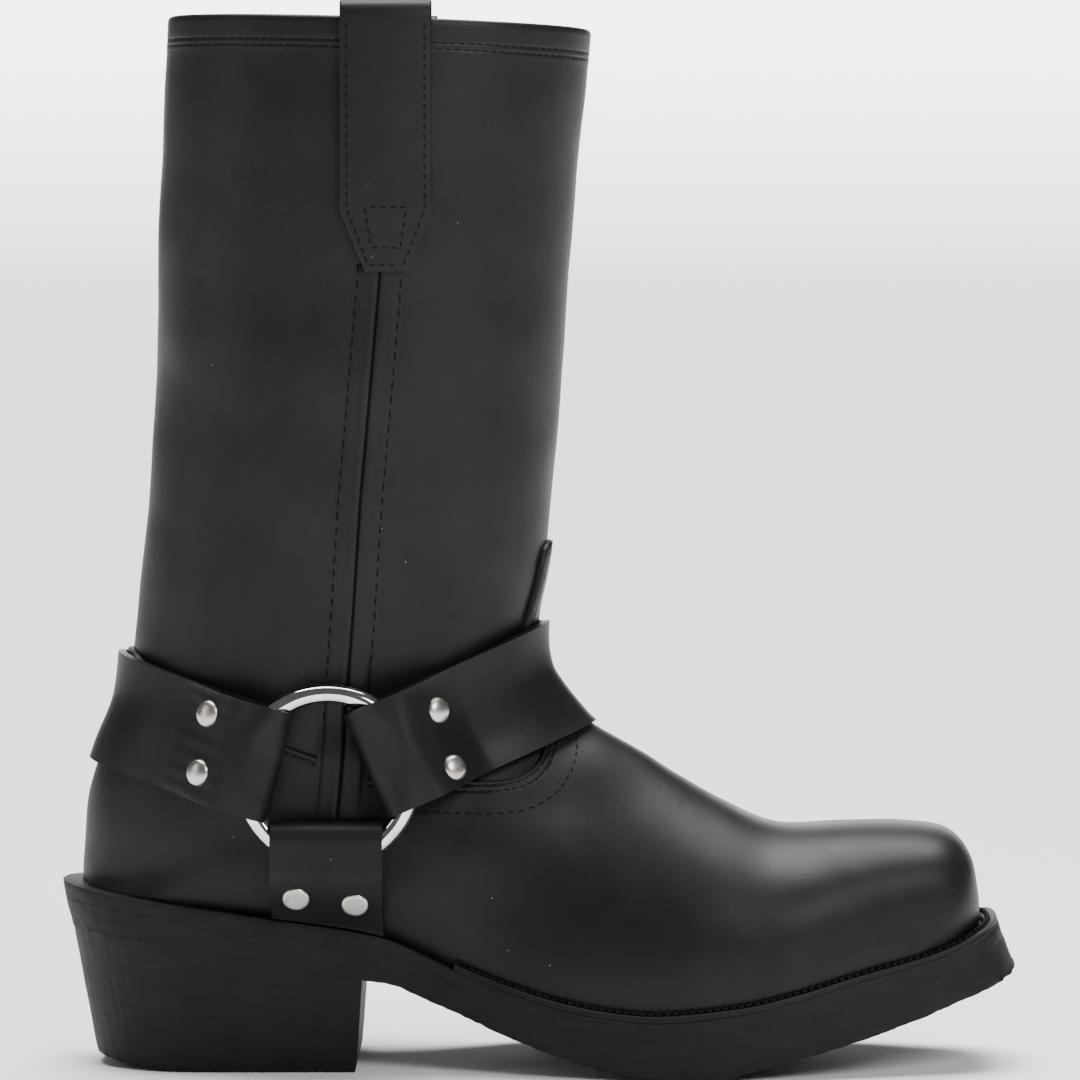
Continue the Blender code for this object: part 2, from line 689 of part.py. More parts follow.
def make_welt():
    start = world_x(WELT_START)
    inside = OVERLAY + GAP + WELT_CLEARANCE
    outside = SOLE_OVERHANG - WELT_INSET
    x = stations(start, SOLE_TOE)
    x = x[x > start + 0.010]
    near_toe = np.clip((x - SOLE_TOE + WELT_TURN) / WELT_TURN, 0, 1)

    def around(grow, toe, lift):
        """One edge of the strip, from its outer end round the toe to its inner end."""
        places = x - near_toe * (SOLE_TOE - FEATHER_TOE - toe)
        outer = -half_width(places, -1, grow, 0.0, toe)
        inner = half_width(places, 1, grow, 0.0, toe)
        y = np.concatenate([outer, inner[-2::-1]])
        places = np.concatenate([places, places[-2::-1]])
        return np.stack([places, y, sole_top(places) + lift], axis=1)

    edge_toe = SOLE_TOE_OVERHANG - WELT_INSET
    top = np.stack([around(inside, inside, GAP + WELT_HEIGHT),
                    around(outside, edge_toe, GAP + WELT_HEIGHT)], axis=1)
    under = np.stack([around(inside, inside, 2 * GAP), around(outside, edge_toe, 2 * GAP)], axis=1)
    verts, faces = between(top, under)
    return add_object("welt", verts, faces, LEATHER, 0.55)


# Harness: straps draped over the upper, rings in their folded ends, rivets

def skin(offset):
    """The upper's outer surface, moved out, for measuring places on it."""
    points, normals, faces, _ = surface_mesh(np.linspace(0, LAST_SECTION, 97),
                                             np.linspace(-1, 1, 81))
    return BVHTree.FromPolygons((points + normals * offset).tolist(), faces)


HARNESS_SEAT = OVERLAY + GAP + STRAP_CLEARANCE
UNDER_HARNESS = skin(HARNESS_SEAT)
ROD = RING_ROD / 2
NOSE = ROD + RING_CLEARANCE + STRAP_THICKNESS
NOSE_ROWS = np.array([0, 0.12, 0.34, 0.66, 1.02]) * NOSE
PAST_NOSE = 0.010
RING_RADIUS = (RING_DIAMETER - RING_ROD) / 2
(RING_X, RING_Z), = seen_from_side([RING_PLACE])
RING_STEPS = 24
ROD_STEPS = 7


def by_ring(offset):
    """A place near the ring, given from its centre in ring diameters."""
    forward, up = offset
    return RING_X + forward * RING_DIAMETER, RING_Z + up * RING_DIAMETER


def on_strap(line, offset):
    """A place on a strap: from its line's end at the ring, along it and up across it."""
    far, near = line
    (x0, z0), (x1, z1) = by_ring(near), seen_from_side([far])[0]
    ahead, across = (share * STRAP_WIDTH / hypot(x1 - x0, z1 - z0) for share in offset)
    turn = 1 if x1 > x0 else -1
    return (x0 + ahead * (x1 - x0) - turn * across * (z1 - z0),
            z0 + ahead * (z1 - z0) + turn * across * (x1 - x0))


def side_y(tree, x, z, side):
    """Distance of a surface from the middle plane, measured straight in from one side."""
    hit = tree.ray_cast(Vector((x, side * 2 * REACH, z)), Vector((0, -side, 0)))[0]
    return abs(hit.y)


def ring_place(side):
    """How far out the ring lies, so that its straps clear what is under them."""
    turns = np.linspace(0, 2 * pi, RING_STEPS, endpoint=False)
    spots = [(RING_X + RING_RADIUS * cos(t), RING_Z + RING_RADIUS * sin(t)) for t in turns]
    return max(side_y(UNDER_HARNESS, x, z, side) for x, z in spots) + NOSE


RING_Y = {side: ring_place(side) for side in SIDES.values()}


def nose(distance):
    """Half thickness of a folded strap end at this distance from its fold."""
    inside = np.clip((NOSE - distance) / NOSE, 0, 1)
    return NOSE * sqrt(1 - inside * inside)


def lifted(distance):
    """Share by which a strap has left the upper to go round its ring."""
    part = float(np.clip((LOOP_LENGTH - distance) / (LOOP_LENGTH - LOOP_FLAT), 0, 1))
    return part * part * (3 - 2 * part)


def wrap_ends(low, high, distance, side):
    """Moves a strap's under and outer points towards the ring near its folded end."""
    share = lifted(distance)
    near = RING_Y[side] - nose(distance)
    far = RING_Y[side] + nose(distance)
    low[1] = side * (abs(low[1]) * (1 - share) + near * share)
    high[1] = side * (abs(high[1]) * (1 - share) + far * share)
    return low, high


def strap_curve(line, offset, axis, turns, fold, keep):
    """The strap's line at one place across its width: points on the upper and outward directions."""
    far, near = line
    (x0, z0), (x1, z1) = seen_from_side([far])[0], by_ring(near)
    slope = (z1 - z0) / (x1 - x0)
    rise = offset * hypot(1, slope)
    centre = Vector((axis, 0, z0 + slope * (axis - x0) + rise))
    hits = []
    for turn in turns:
        way = Vector((cos(turn), sin(turn), slope * cos(turn)))
        hit = UNDER_HARNESS.ray_cast(centre + way * 3 * REACH, -way)[0]
        if hit is not None:
            hits.append(np.array(hit))
    (fx0, fz0), (fx1, fz1) = [by_ring(end) for end in fold]
    inside = []
    for point in hits:
        limit = fx0 + (point[2] - fz0) * (fx1 - fx0) / (fz1 - fz0)
        if (limit - point[0]) * keep > 0:
            inside.append(point)
    points = np.array(inside)
    steps = np.linalg.norm(np.diff(points, axis=0), axis=1)
    lengths = np.concatenate([[0], np.cumsum(steps)])
    return points, lengths, centre


def strap_rows(total):
    end = np.concatenate([NOSE_ROWS, spread(PAST_NOSE, LOOP_LENGTH, 0.0055)])
    middle = spread(LOOP_LENGTH, total - LOOP_LENGTH, 0.010)[1:-1]
    return np.concatenate([end, middle, total - end[::-1]])


def make_strap(name, line, fold, axis, turns, keep):
    across = np.linspace(-0.5, 0.5, 4) * STRAP_WIDTH
    curves = [strap_curve(line, offset, axis, turns, fold, keep) for offset in across]
    whole = np.mean([lengths[-1] for _, lengths, _ in curves])
    rows = strap_rows(whole)
    low_grid = []
    high_grid = []
    for points, lengths, centre in curves:
        at = rows / whole * lengths[-1]
        low_row = []
        high_row = []
        for place, distance in zip(at, rows):
            low = np.array([np.interp(place, lengths, points[:, k]) for k in range(3)])
            ahead = np.array([np.interp(place + 0.004, lengths, points[:, k]) for k in range(3)])
            behind = np.array([np.interp(place - 0.004, lengths, points[:, k]) for k in range(3)])
            along = ahead - behind
            out = np.array([along[1], -along[0], 0.0])
            out /= np.linalg.norm(out)
            if out @ (low - np.array(centre)) < 0:
                out = -out
            high = low + out * STRAP_THICKNESS
            side = -1 if low[1] < 0 else 1
            low, high = wrap_ends(low, high, min(distance, whole - distance), side)
            low_row.append(low)
            high_row.append(high)
        low_grid.append(low_row)
        high_grid.append(high_row)
    return finish_strap(name, low_grid, high_grid, SIDES.values())


def finish_strap(name, low_grid, high_grid, sides):
    verts, faces = between(low_grid, high_grid)
    strap = add_object(name, verts, faces, LEATHER, 0.45)
    for side in sides:
        boolean(strap, RING_TUNNELS[side], "DIFFERENCE")
    tree = BVHTree.FromPolygons([tuple(v) for v in verts], faces)
    return tree


def make_stirrup(name, side):
    middle, top = by_ring(STIRRUP_FOLD)
    columns = np.linspace(-0.5, 0.5, 5) * STRAP_WIDTH + middle
    low_grid = []
    high_grid = []
    for x in columns:
        bottom = float(sole_top(x)) + 2 * GAP
        rows = np.concatenate([NOSE_ROWS, np.linspace(PAST_NOSE, top - bottom, 6)])
        low_row = []
        high_row = []
        for distance in rows:
            z = top - distance
            seat = side_y(UNDER_HARNESS, x, max(z, float(sole_top(x)) + 3 * GAP), side)
            low = np.array([x, side * seat, z])
            high = np.array([x, side * (seat + STRAP_THICKNESS), z])
            low, high = wrap_ends(low, high, distance, side)
            low_row.append(low)
            high_row.append(high)
        low_grid.append(low_row)
        high_grid.append(high_row)
    return finish_strap(name, low_grid, high_grid, [side])


def ring_mesh(side, rod, around, across):
    verts = []
    faces = []
    for i in range(around):
        turn = 2 * pi * i / around
        for j in range(across):
            roll = 2 * pi * j / across
            reach = RING_RADIUS + rod * cos(roll)
            verts.append((RING_X + reach * cos(turn), side * RING_Y[side] + rod * sin(roll),
                          RING_Z + reach * sin(turn)))
            nexts = (i + 1) % around * across
            step = (j + 1) % across
            faces.append([i * across + j, nexts + j, nexts + step, i * across + step])
    return verts, faces


def make_ring(name, side):
    return add_object("ring_" + name, *ring_mesh(side, ROD, RING_STEPS, ROD_STEPS), CHROME, 0.12, 1.0)


def make_tunnel(name, side):
    rod = (ROD + RING_CLEARANCE) / cos(pi / ROD_STEPS)
    return guide("ring_tunnel_" + name, *ring_mesh(side, rod, RING_STEPS, ROD_STEPS))


def turned(profile, segments):
    """Round solid from rows of radius and height, closed at both ends."""
    verts = []
    faces = []
    for radius, height in profile:
        for k in range(segments):
            turn = 2 * pi * k / segments
            verts.append(Vector((radius * cos(turn), radius * sin(turn), height)))
    for i in range(len(profile) - 1):
        for k in range(segments):
            a = i * segments + k
            b = i * segments + (k + 1) % segments
            faces.append([a, b, b + segments, a + segments])
    faces.append(list(range(segments))[::-1])
    faces.append([k + (len(profile) - 1) * segments for k in range(segments)])
    return verts, faces


def make_rivet(name, tree, place, side, profile):
    x, z = place
    hit, normal, _, _ = tree.ray_cast(Vector((x, side * 2 * REACH, z)), Vector((0, -side, 0)))
    if normal.y * side < 0:
        normal = -normal
    turn = Vector((0, 0, 1)).rotation_difference(normal).to_matrix()
    verts, faces = turned(profile, 12)
    # The rivet rests on the highest spot of the leather under its edge
    lift = 0.0
    for spot in verts[:12]:
        over = hit + turn @ spot
        touch = tree.ray_cast(over + normal * STRAP_WIDTH / 2, -normal)[0]
        if touch is not None:
            lift = max(lift, (touch - hit).dot(normal))
    placed = [turn @ v + hit + normal * (lift + GAP) for v in verts]
    return add_object(name, placed, faces, NICKEL, 0.3, 1.0)


def dome_profile():
    radius = RIVET_DIAMETER / 2
    steps = np.linspace(0, pi / 2, 4)[:-1]
    rows = [(radius * cos(a), DOME_HEIGHT * sin(a)) for a in steps]
    return rows + [(radius * 0.2, DOME_HEIGHT)]


def flat_profile():
    radius = RIVET_DIAMETER / 2
    return [(radius, 0.0), (radius, FLAT_RIVET_HEIGHT * 0.5), (radius * 0.8, FLAT_RIVET_HEIGHT)]


# Pull straps

UNDER_PULL = skin(PULL_CLEARANCE)


def collar_height(x):
    front_x, front_z, back_x, back_z = SECTIONS[0][:4]
    return back_z + (front_z - back_z) * (x - back_x) / (front_x - back_x)


def make_pull_strap(name, side):
    middle = world_x(PULL_X)
    rim = collar_height(middle)
    tip = rim - PULL_LENGTH
    heights = np.concatenate([[tip, tip + PULL_TAPER], spread(tip + 0.034, rim - 0.004, 0.020)])
    inside = PULL_CLEARANCE + WALL / 2
    near_grid = []
    far_grid = []
    for share in np.linspace(-1, 1, 6):
        near_row = []
        far_row = []
        for z in heights:
            taper = float(np.clip((z - tip) / PULL_TAPER, 0, 1))
            half = (PULL_TIP_WIDTH + (PULL_WIDTH - PULL_TIP_WIDTH) * taper) / 2
            x = middle + share * half
            seat = side_y(UNDER_PULL, x, min(z, collar_height(x) - GAP), side)
            near_row.append((x, side * seat, z))
            far_row.append((x, side * (seat + PULL_THICKNESS), z))
        x = middle + share * PULL_WIDTH / 2
        seat = side_y(UNDER_PULL, x, collar_height(x) - GAP, side)
        centre = seat - inside
        for turn in np.linspace(0, pi, 7):
            out = cos(turn)
            up = sin(turn)
            near_row.append((x, side * (centre + inside * out), rim + PULL_RISE * up))
            far_row.append((x, side * (centre + (inside + PULL_THICKNESS) * out),
                            rim + (PULL_RISE + PULL_THICKNESS) * up))
        for drop in spread(0.010, PULL_INSIDE, 0.025):
            z = rim - drop
            seat = side_y(UNDER_PULL, x, z, side) - WALL - 2 * PULL_CLEARANCE
            near_row.append((x, side * seat, z))
            far_row.append((x, side * (seat - PULL_THICKNESS), z))
        near_grid.append(near_row)
        far_grid.append(far_row)
    verts, faces = between(near_grid, far_grid)
    return add_object("pull_strap_" + name, verts, faces, LEATHER, 0.5)


make_upper()
make_vamp()
make_counter()
make_midsole()
make_outsole()
make_heel()
make_insole()
make_welt()

RING_TUNNELS = {side: make_tunnel(name, side) for name, side in SIDES.items()}
HEEL_TURNS = np.linspace(-radians(50), -radians(310), 240)
INSTEP_TURNS = np.linspace(-radians(150), radians(150), 240)
heel_strap = make_strap("heel_strap", HEEL_STRAP_LINE, HEEL_FOLD, world_x(HEEL_STRAP_AXIS),
                        HEEL_TURNS, 1)
instep_strap = make_strap("instep_strap", INSTEP_STRAP_LINE, INSTEP_FOLD,
                          world_x(INSTEP_STRAP_AXIS), INSTEP_TURNS, -1)
for name, side in SIDES.items():
    make_side_seam(name, side)
    make_ring(name, side)
    make_pull_strap(name, side)
    stirrup = make_stirrup("stirrup_strap_" + name, side)
    for number, offset in enumerate(HEEL_RIVETS, 1):
        place = on_strap(HEEL_STRAP_LINE, offset)
        make_rivet(f"rivet_heel_{name}_{number}", heel_strap, place, side, dome_profile())
    for number, offset in enumerate(INSTEP_RIVETS, 1):
        place = on_strap(INSTEP_STRAP_LINE, offset)
        make_rivet(f"rivet_instep_{name}_{number}", instep_strap, place, side, dome_profile())
    for number, offset in enumerate(STIRRUP_RIVETS, 1):
        place = by_ring(offset)
        make_rivet(f"rivet_stirrup_{name}_{number}", stirrup, place, side, flat_profile())
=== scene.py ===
from math import cos, hypot, pi, radians, sin, sqrt

import bmesh
import bpy
import numpy as np
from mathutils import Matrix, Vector
from mathutils.bvhtree import BVHTree


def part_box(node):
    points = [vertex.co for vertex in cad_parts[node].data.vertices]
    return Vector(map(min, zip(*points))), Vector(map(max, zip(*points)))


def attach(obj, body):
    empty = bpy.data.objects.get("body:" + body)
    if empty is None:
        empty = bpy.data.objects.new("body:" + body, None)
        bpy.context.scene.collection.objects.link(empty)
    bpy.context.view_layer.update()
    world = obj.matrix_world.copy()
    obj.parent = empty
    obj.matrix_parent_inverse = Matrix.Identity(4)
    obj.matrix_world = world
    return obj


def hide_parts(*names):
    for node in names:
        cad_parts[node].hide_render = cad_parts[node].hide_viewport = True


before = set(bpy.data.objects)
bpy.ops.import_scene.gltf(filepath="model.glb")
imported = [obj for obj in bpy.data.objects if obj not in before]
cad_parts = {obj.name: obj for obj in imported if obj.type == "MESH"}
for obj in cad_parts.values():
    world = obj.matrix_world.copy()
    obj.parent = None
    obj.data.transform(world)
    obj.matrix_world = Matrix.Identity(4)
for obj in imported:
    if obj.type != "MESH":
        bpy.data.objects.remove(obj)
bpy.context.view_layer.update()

# The looks of the harness boot: leather, straps, stitches, rings, rivets and sole.
# Metres, +X to the toe, +Y to the wearer's left, +Z up.

# Driving sizes, as in the part
LENGTH = 0.310
BALL_WIDTH = 0.100
HEEL_LIFT = 0.0412
TOE_SPRING = 0.0294
BALL_THICKNESS = 0.0183
MIDSOLE_THICKNESS = 0.0045
HEEL_REST_FROM_BACK = 0.060
INSTEP_RISE = 0.0850
SHAFT_RISE = 0.1940
SHAFT_WIDTH = 0.106
WALL = 0.0022
OVERLAY = 0.0016
GAP = 0.0003
HEEL_ROUND = 0.034
TOE_CORNER = 0.015
HEEL_POWER = 2.2
TOE_POWER = 2.7
SOLE_OVERHANG = 0.0062
SOLE_BACK_OVERHANG = 0.0086
SOLE_TOE_OVERHANG = 0.0080
TOE_FACE_LEAN = 0.0055
HEEL_BLOCK_LENGTH = 0.0985
HEEL_BACK_UNDERCUT = 0.0114
HEEL_SIDE_UNDERCUT = 0.0050
HEEL_BREAST_UNDERCUT = 0.0022
HEEL_REAR_BEVEL = 0.0030
HEEL_BEVEL_LENGTH = 0.024
WELT_HEIGHT = 0.0020
WELT_INSET = 0.0006
WELT_CLEARANCE = 0.0014
WELT_TURN = 0.020
WELT_START = 0.38
STRAP_WIDTH = 0.0355
STRAP_THICKNESS = 0.0026
RING_DIAMETER = 0.0590
RING_ROD = 0.0062
RING_CLEARANCE = 0.0004
LOOP_LENGTH = 0.031
LOOP_FLAT = 0.0155
STRAP_CLEARANCE = 0.0007
RIVET_DIAMETER = 0.0086
DOME_HEIGHT = 0.0021
FLAT_RIVET_HEIGHT = 0.0012
PULL_WIDTH = 0.0288
PULL_TIP_WIDTH = 0.0130
PULL_LENGTH = 0.0800
PULL_TAPER = 0.0196
PULL_INSIDE = 0.0600
PULL_THICKNESS = 0.0024
PULL_RISE = 0.0030
PULL_CLEARANCE = 0.0007
PULL_X = 0.3445
SEAM_HEIGHT = 0.0009
SEAM_TOP = 0.748
SEAM_BOTTOM = 0.312

# Sole lines: place as a share of LENGTH, then shares of HEEL_LIFT and TOE_SPRING
SOLE_TOP = [
    # place, lift, spring
    (0.000, 1.000, 0.000),
    (0.108, 0.886, 0.000),
    (0.222, 0.767, 0.000),
    (0.335, 0.626, 0.000),
    (0.381, 0.485, 0.000),
    (0.428, 0.323, 0.000),
    (0.474, 0.194, 0.000),
    (0.521, 0.092, 0.000),
    (0.568, 0.028, 0.000),
    (0.613, 0.000, 0.000),
    (0.705, 0.000, 0.085),
    (0.761, 0.000, 0.210),
    (0.819, 0.000, 0.381),
    (0.913, 0.000, 0.640),
    (0.957, 0.000, 0.844),
    (1.000, 0.000, 1.080),
]
SOLE_BOTTOM = [
    # place, lift, spring
    (0.000, 1.092, 0.000),
    (0.320, 0.728, 0.000),
    (0.343, 0.705, 0.000),
    (0.392, 0.558, 0.000),
    (0.444, 0.388, 0.000),
    (0.501, 0.218, 0.000),
    (0.546, 0.110, 0.000),
    (0.583, 0.045, 0.000),
    (0.615, 0.000, 0.000),
    (0.672, 0.000, 0.000),
    (0.723, 0.000, 0.110),
    (0.767, 0.000, 0.221),
    (0.855, 0.000, 0.476),
    (0.906, 0.000, 0.673),
    (0.963, 0.000, 0.905),
    (1.000, 0.000, 1.085),
]

# Feather line: place as a share of LENGTH, half widths as shares of BALL_WIDTH
FEATHER = [
    # place, outer side, inner side
    (0.028, 0.305, 0.305),
    (0.108, 0.312, 0.308),
    (0.200, 0.318, 0.305),
    (0.290, 0.315, 0.290),
    (0.360, 0.320, 0.282),
    (0.420, 0.352, 0.318),
    (0.475, 0.398, 0.372),
    (0.532, 0.436, 0.425),
    (0.590, 0.468, 0.460),
    (0.640, 0.480, 0.470),
    (0.690, 0.478, 0.462),
    (0.740, 0.460, 0.440),
    (0.800, 0.420, 0.400),
    (0.860, 0.365, 0.352),
    (0.915, 0.315, 0.305),
    (0.954, 0.285, 0.280),
]

# Shaft sections: shares of LENGTH, SHAFT_RISE and SHAFT_WIDTH
SHAFT_SECTIONS = [
    # front, front_rise, back, back_rise, outer, inner, widest, front_round, back_round
    (0.554, 0.981, 0.114, 1.003, 0.500, 0.500, 0.50, 2.10, 2.10),
    (0.542, 0.778, 0.107, 0.778, 0.498, 0.498, 0.50, 2.10, 2.10),
    (0.533, 0.611, 0.103, 0.611, 0.492, 0.492, 0.50, 2.08, 2.10),
    (0.525, 0.443, 0.101, 0.443, 0.480, 0.480, 0.50, 2.05, 2.10),
    (0.516, 0.274, 0.095, 0.274, 0.460, 0.458, 0.50, 2.00, 2.10),
    (0.507, 0.120, 0.086, 0.120, 0.436, 0.432, 0.50, 1.98, 2.10),
]

# Foot sections: shares of LENGTH, INSTEP_RISE and BALL_WIDTH
FOOT_SECTIONS = [
    # ridge, ridge_rise, base, base_rise, outer, inner, widest, ridge_round, base_round
    (0.4960, 1.068, 0.0785, 1.012, 0.432, 0.427, 0.50, 1.95, 2.10),
    (0.4945, 0.932, 0.0715, 0.755, 0.412, 0.406, 0.50, 1.92, 2.12),
    (0.4995, 0.825, 0.0480, 0.515, 0.396, 0.389, 0.50, 1.90, 2.15),
    (0.5075, 0.765, 0.0320, 0.285, 0.383, 0.375, 0.50, 1.90, 2.20),
    (0.5165, 0.718, 0.0278, 0.000, 0.374, 0.366, 0.50, 1.90, 2.25),
    (0.5265, 0.686, 0.0450, 0.000, 0.372, 0.363, 0.51, 1.90, 2.30),
    (0.5390, 0.664, 0.1060, 0.000, 0.374, 0.363, 0.54, 1.90, 2.40),
    (0.5550, 0.662, 0.2000, 0.000, 0.380, 0.364, 0.58, 1.90, 2.50),
    (0.5760, 0.676, 0.3060, 0.000, 0.390, 0.366, 0.62, 1.90, 2.60),
    (0.6060, 0.770, 0.4190, 0.000, 0.400, 0.372, 0.67, 1.92, 2.70),
    (0.6450, 0.818, 0.5320, 0.000, 0.455, 0.443, 0.73, 1.98, 2.80),
    (0.6900, 0.762, 0.6350, 0.000, 0.496, 0.482, 0.74, 2.05, 2.80),
    (0.7480, 0.635, 0.7220, 0.000, 0.484, 0.464, 0.72, 2.20, 2.80),
    (0.8130, 0.580, 0.7830, 0.000, 0.444, 0.424, 0.70, 2.40, 2.80),
    (0.8770, 0.532, 0.8320, 0.000, 0.396, 0.380, 0.68, 2.65, 2.80),
    (0.9230, 0.490, 0.8540, 0.000, 0.364, 0.352, 0.66, 2.90, 2.80),
    (0.9440, 0.400, 0.8680, 0.000, 0.347, 0.337, 0.66, 3.10, 2.80),
    (0.9515, 0.265, 0.8800, 0.000, 0.333, 0.323, 0.66, 3.10, 2.80),
    (0.9540, 0.115, 0.8900, 0.000, 0.322, 0.314, 0.66, 3.10, 2.80),
]

# Seams and straps seen from the side: shares of LENGTH and of the collar's height
SIDE_SEAM = [
    # place, height
    (0.345, 0.972),
    (0.338, 0.753),
    (0.326, 0.627),
    (0.318, 0.548),
    (0.310, 0.443),
    (0.299, 0.309),
    (0.290, 0.220),
    (0.284, 0.120),
]
VAMP_EDGE = [
    # place, height, from the side seam to the tip of the tongue
    (0.300, 0.2895),
    (0.370, 0.2810),
    (0.441, 0.2765),
    (0.464, 0.2765),
    (0.478, 0.2780),
    (0.490, 0.2835),
    (0.498, 0.2910),
    (0.504, 0.3050),
    (0.502, 0.3350),
    (0.491, 0.3750),
    (0.483, 0.4050),
    (0.482, 0.4240),
    (0.489, 0.4430),
    (0.496, 0.4650),
    (0.501, 0.4940),
    (0.511, 0.5070),
    (0.545, 0.5080),
]
COUNTER_EDGE = [
    # place, height, from the back centre to the side seam
    (0.040, 0.4040),
    (0.071, 0.4040),
    (0.100, 0.3810),
    (0.150, 0.3480),
    (0.200, 0.3250),
    (0.245, 0.3105),
    (0.297, 0.2930),
]
RING_PLACE = (0.2845, 0.2855)

# What lies at the ring is given from its centre, forward and up, in ring diameters
HEEL_STRAP_LINE = [(0.044, 0.3470), (-0.3758, 0.0850)]
INSTEP_STRAP_LINE = [(0.530, 0.3775), (0.2390, 0.0771)]
HEEL_FOLD = [(-0.1750, 0.3572), (-0.3326, -0.2602)]
INSTEP_FOLD = [(0.0746, 0.3343), (0.3151, -0.2316)]
STIRRUP_FOLD = (-0.0101, -0.2373)
HEEL_RIVETS = [(0.5420, 0.2780), (0.4740, -0.2480)]
INSTEP_RIVETS = [(0.7092, 0.1930), (0.6460, -0.3328)]
STIRRUP_RIVETS = [(-0.1708, -0.6489), (0.1444, -0.6832)]
HEEL_STRAP_AXIS = 0.22
INSTEP_STRAP_AXIS = 0.34

SIDES = {"lateral": -1, "medial": 1}
MM = 0.001
REACH = BALL_WIDTH
CHANCE = np.random.default_rng(7)


# Curves through the tables

def cubic(values, slopes, index, part, span=1.0):
    """The curve between two rows that has the given slopes at both."""
    keep = 1 - part
    return (values[index] * keep * keep * (1 + 2 * part)
            + values[index + 1] * part * part * (3 - 2 * part)
            + span * slopes[index] * part * keep * keep
            - span * slopes[index + 1] * part * part * keep)


def smooth(places, values, at):
    """Piecewise cubic through the rows that never overshoots them."""
    places = np.asarray(places, float)
    values = np.asarray(values, float)
    at = np.clip(np.asarray(at, float), places[0], places[-1])
    steps = np.diff(places)
    slopes = np.diff(values) / steps
    tangents = np.zeros(len(values))
    same = slopes[:-1] * slopes[1:] > 0
    first = 2 * steps[1:] + steps[:-1]
    second = steps[1:] + 2 * steps[:-1]
    with np.errstate(divide="ignore", invalid="ignore"):
        mean = (first + second) / (first / slopes[:-1] + second / slopes[1:])
    tangents[1:-1] = np.where(same, mean, 0.0)
    tangents[0] = slopes[0]
    tangents[-1] = slopes[-1]
    index = np.clip(np.searchsorted(places, at, side="right") - 1, 0, len(places) - 2)
    span = steps[index]
    return cubic(values, tangents, index, (at - places[index]) / span, span)


def flowing(values, at):
    """Rounder curve through evenly numbered rows."""
    values = np.asarray(values, float)
    at = np.clip(np.asarray(at, float), 0, len(values) - 1)
    index = np.clip(at.astype(int), 0, len(values) - 2)
    return cubic(values, np.gradient(values), index, at - index)


def ease(share):
    share = np.clip(share, 0, 1)
    return share * share * (3 - 2 * share)


def bell(offset, width):
    return np.exp(-(offset / width) ** 2)


def evened(line, passes=1):
    """The rows drawn towards their neighbours, but for the first and the last."""
    line = line.copy()
    for _ in range(passes):
        line[1:-1] = (line[:-2] + 2 * line[1:-1] + line[2:]) / 4
    return line


def lengths_along(points):
    steps = np.linalg.norm(np.diff(points, axis=0), axis=1)
    return np.concatenate([[0], np.cumsum(steps)])


def interpolated(at, lengths, rows):
    return np.stack([np.interp(at, lengths, column) for column in rows.T], axis=-1)


def world_x(place):
    return place * LENGTH - HEEL_REST_FROM_BACK


def place_of(x):
    return (x + HEEL_REST_FROM_BACK) / LENGTH


def sole_line(table, x):
    place = place_of(np.asarray(x, float))
    places, lifts, springs = np.array(table).T
    return smooth(places, lifts, place) * HEEL_LIFT + smooth(places, springs, place) * TOE_SPRING


def sole_top(x):
    return BALL_THICKNESS + sole_line(SOLE_TOP, x)


def sole_bottom(x):
    return sole_line(SOLE_BOTTOM, x)


FEATHER_BACK = world_x(FEATHER[0][0])
FEATHER_TOE = world_x(FEATHER[-1][0])
SEAT = float(sole_top(FEATHER_BACK))
THROAT = SEAT + INSTEP_RISE
COLLAR = THROAT + SHAFT_RISE
HEEL_SECTION = len(SHAFT_SECTIONS) + [row[3] for row in FOOT_SECTIONS].index(0.0)


def rounding(depth, radius, power):
    inner = np.clip(1 - depth / radius, 0, 1)
    return (1 - inner ** power) ** (1 / power)


def half_width(x, side, grow=0.0, back=0.0, toe=0.0):
    """Half width of the feather line, or of an edge that stands out from it."""
    x = np.asarray(x, float)
    places, outer, inner = np.array(FEATHER).T
    full = smooth(places, outer if side < 0 else inner, place_of(x)) * BALL_WIDTH + grow
    from_back = np.clip(x - (FEATHER_BACK - back), 0, None)
    from_toe = np.clip(FEATHER_TOE + toe - x, 0, None)
    return (full * rounding(from_back, HEEL_ROUND + back, HEEL_POWER)
            * rounding(from_toe, TOE_CORNER + toe / 2, TOE_POWER))


def feather_reach(x, side):
    return np.where(side < 0, half_width(x, -1), half_width(x, 1))


def sections():
    rows = []
    for table, rise, width in ((SHAFT_SECTIONS, SHAFT_RISE, SHAFT_WIDTH),
                               (FOOT_SECTIONS, INSTEP_RISE, BALL_WIDTH)):
        for front, front_rise, back, back_rise, outer, inner, *shape in table:
            floor = THROAT if table is SHAFT_SECTIONS else float(sole_top(world_x(back)))
            rows.append((world_x(front), floor + front_rise * rise,
                         world_x(back), floor + back_rise * rise,
                         outer * width, inner * width, *shape))
    return np.array(rows)


SECTIONS = sections()
LAST_SECTION = len(SECTIONS) - 1
TOE_BLEND = 1.5
WIDEST_FOOT = 0.96


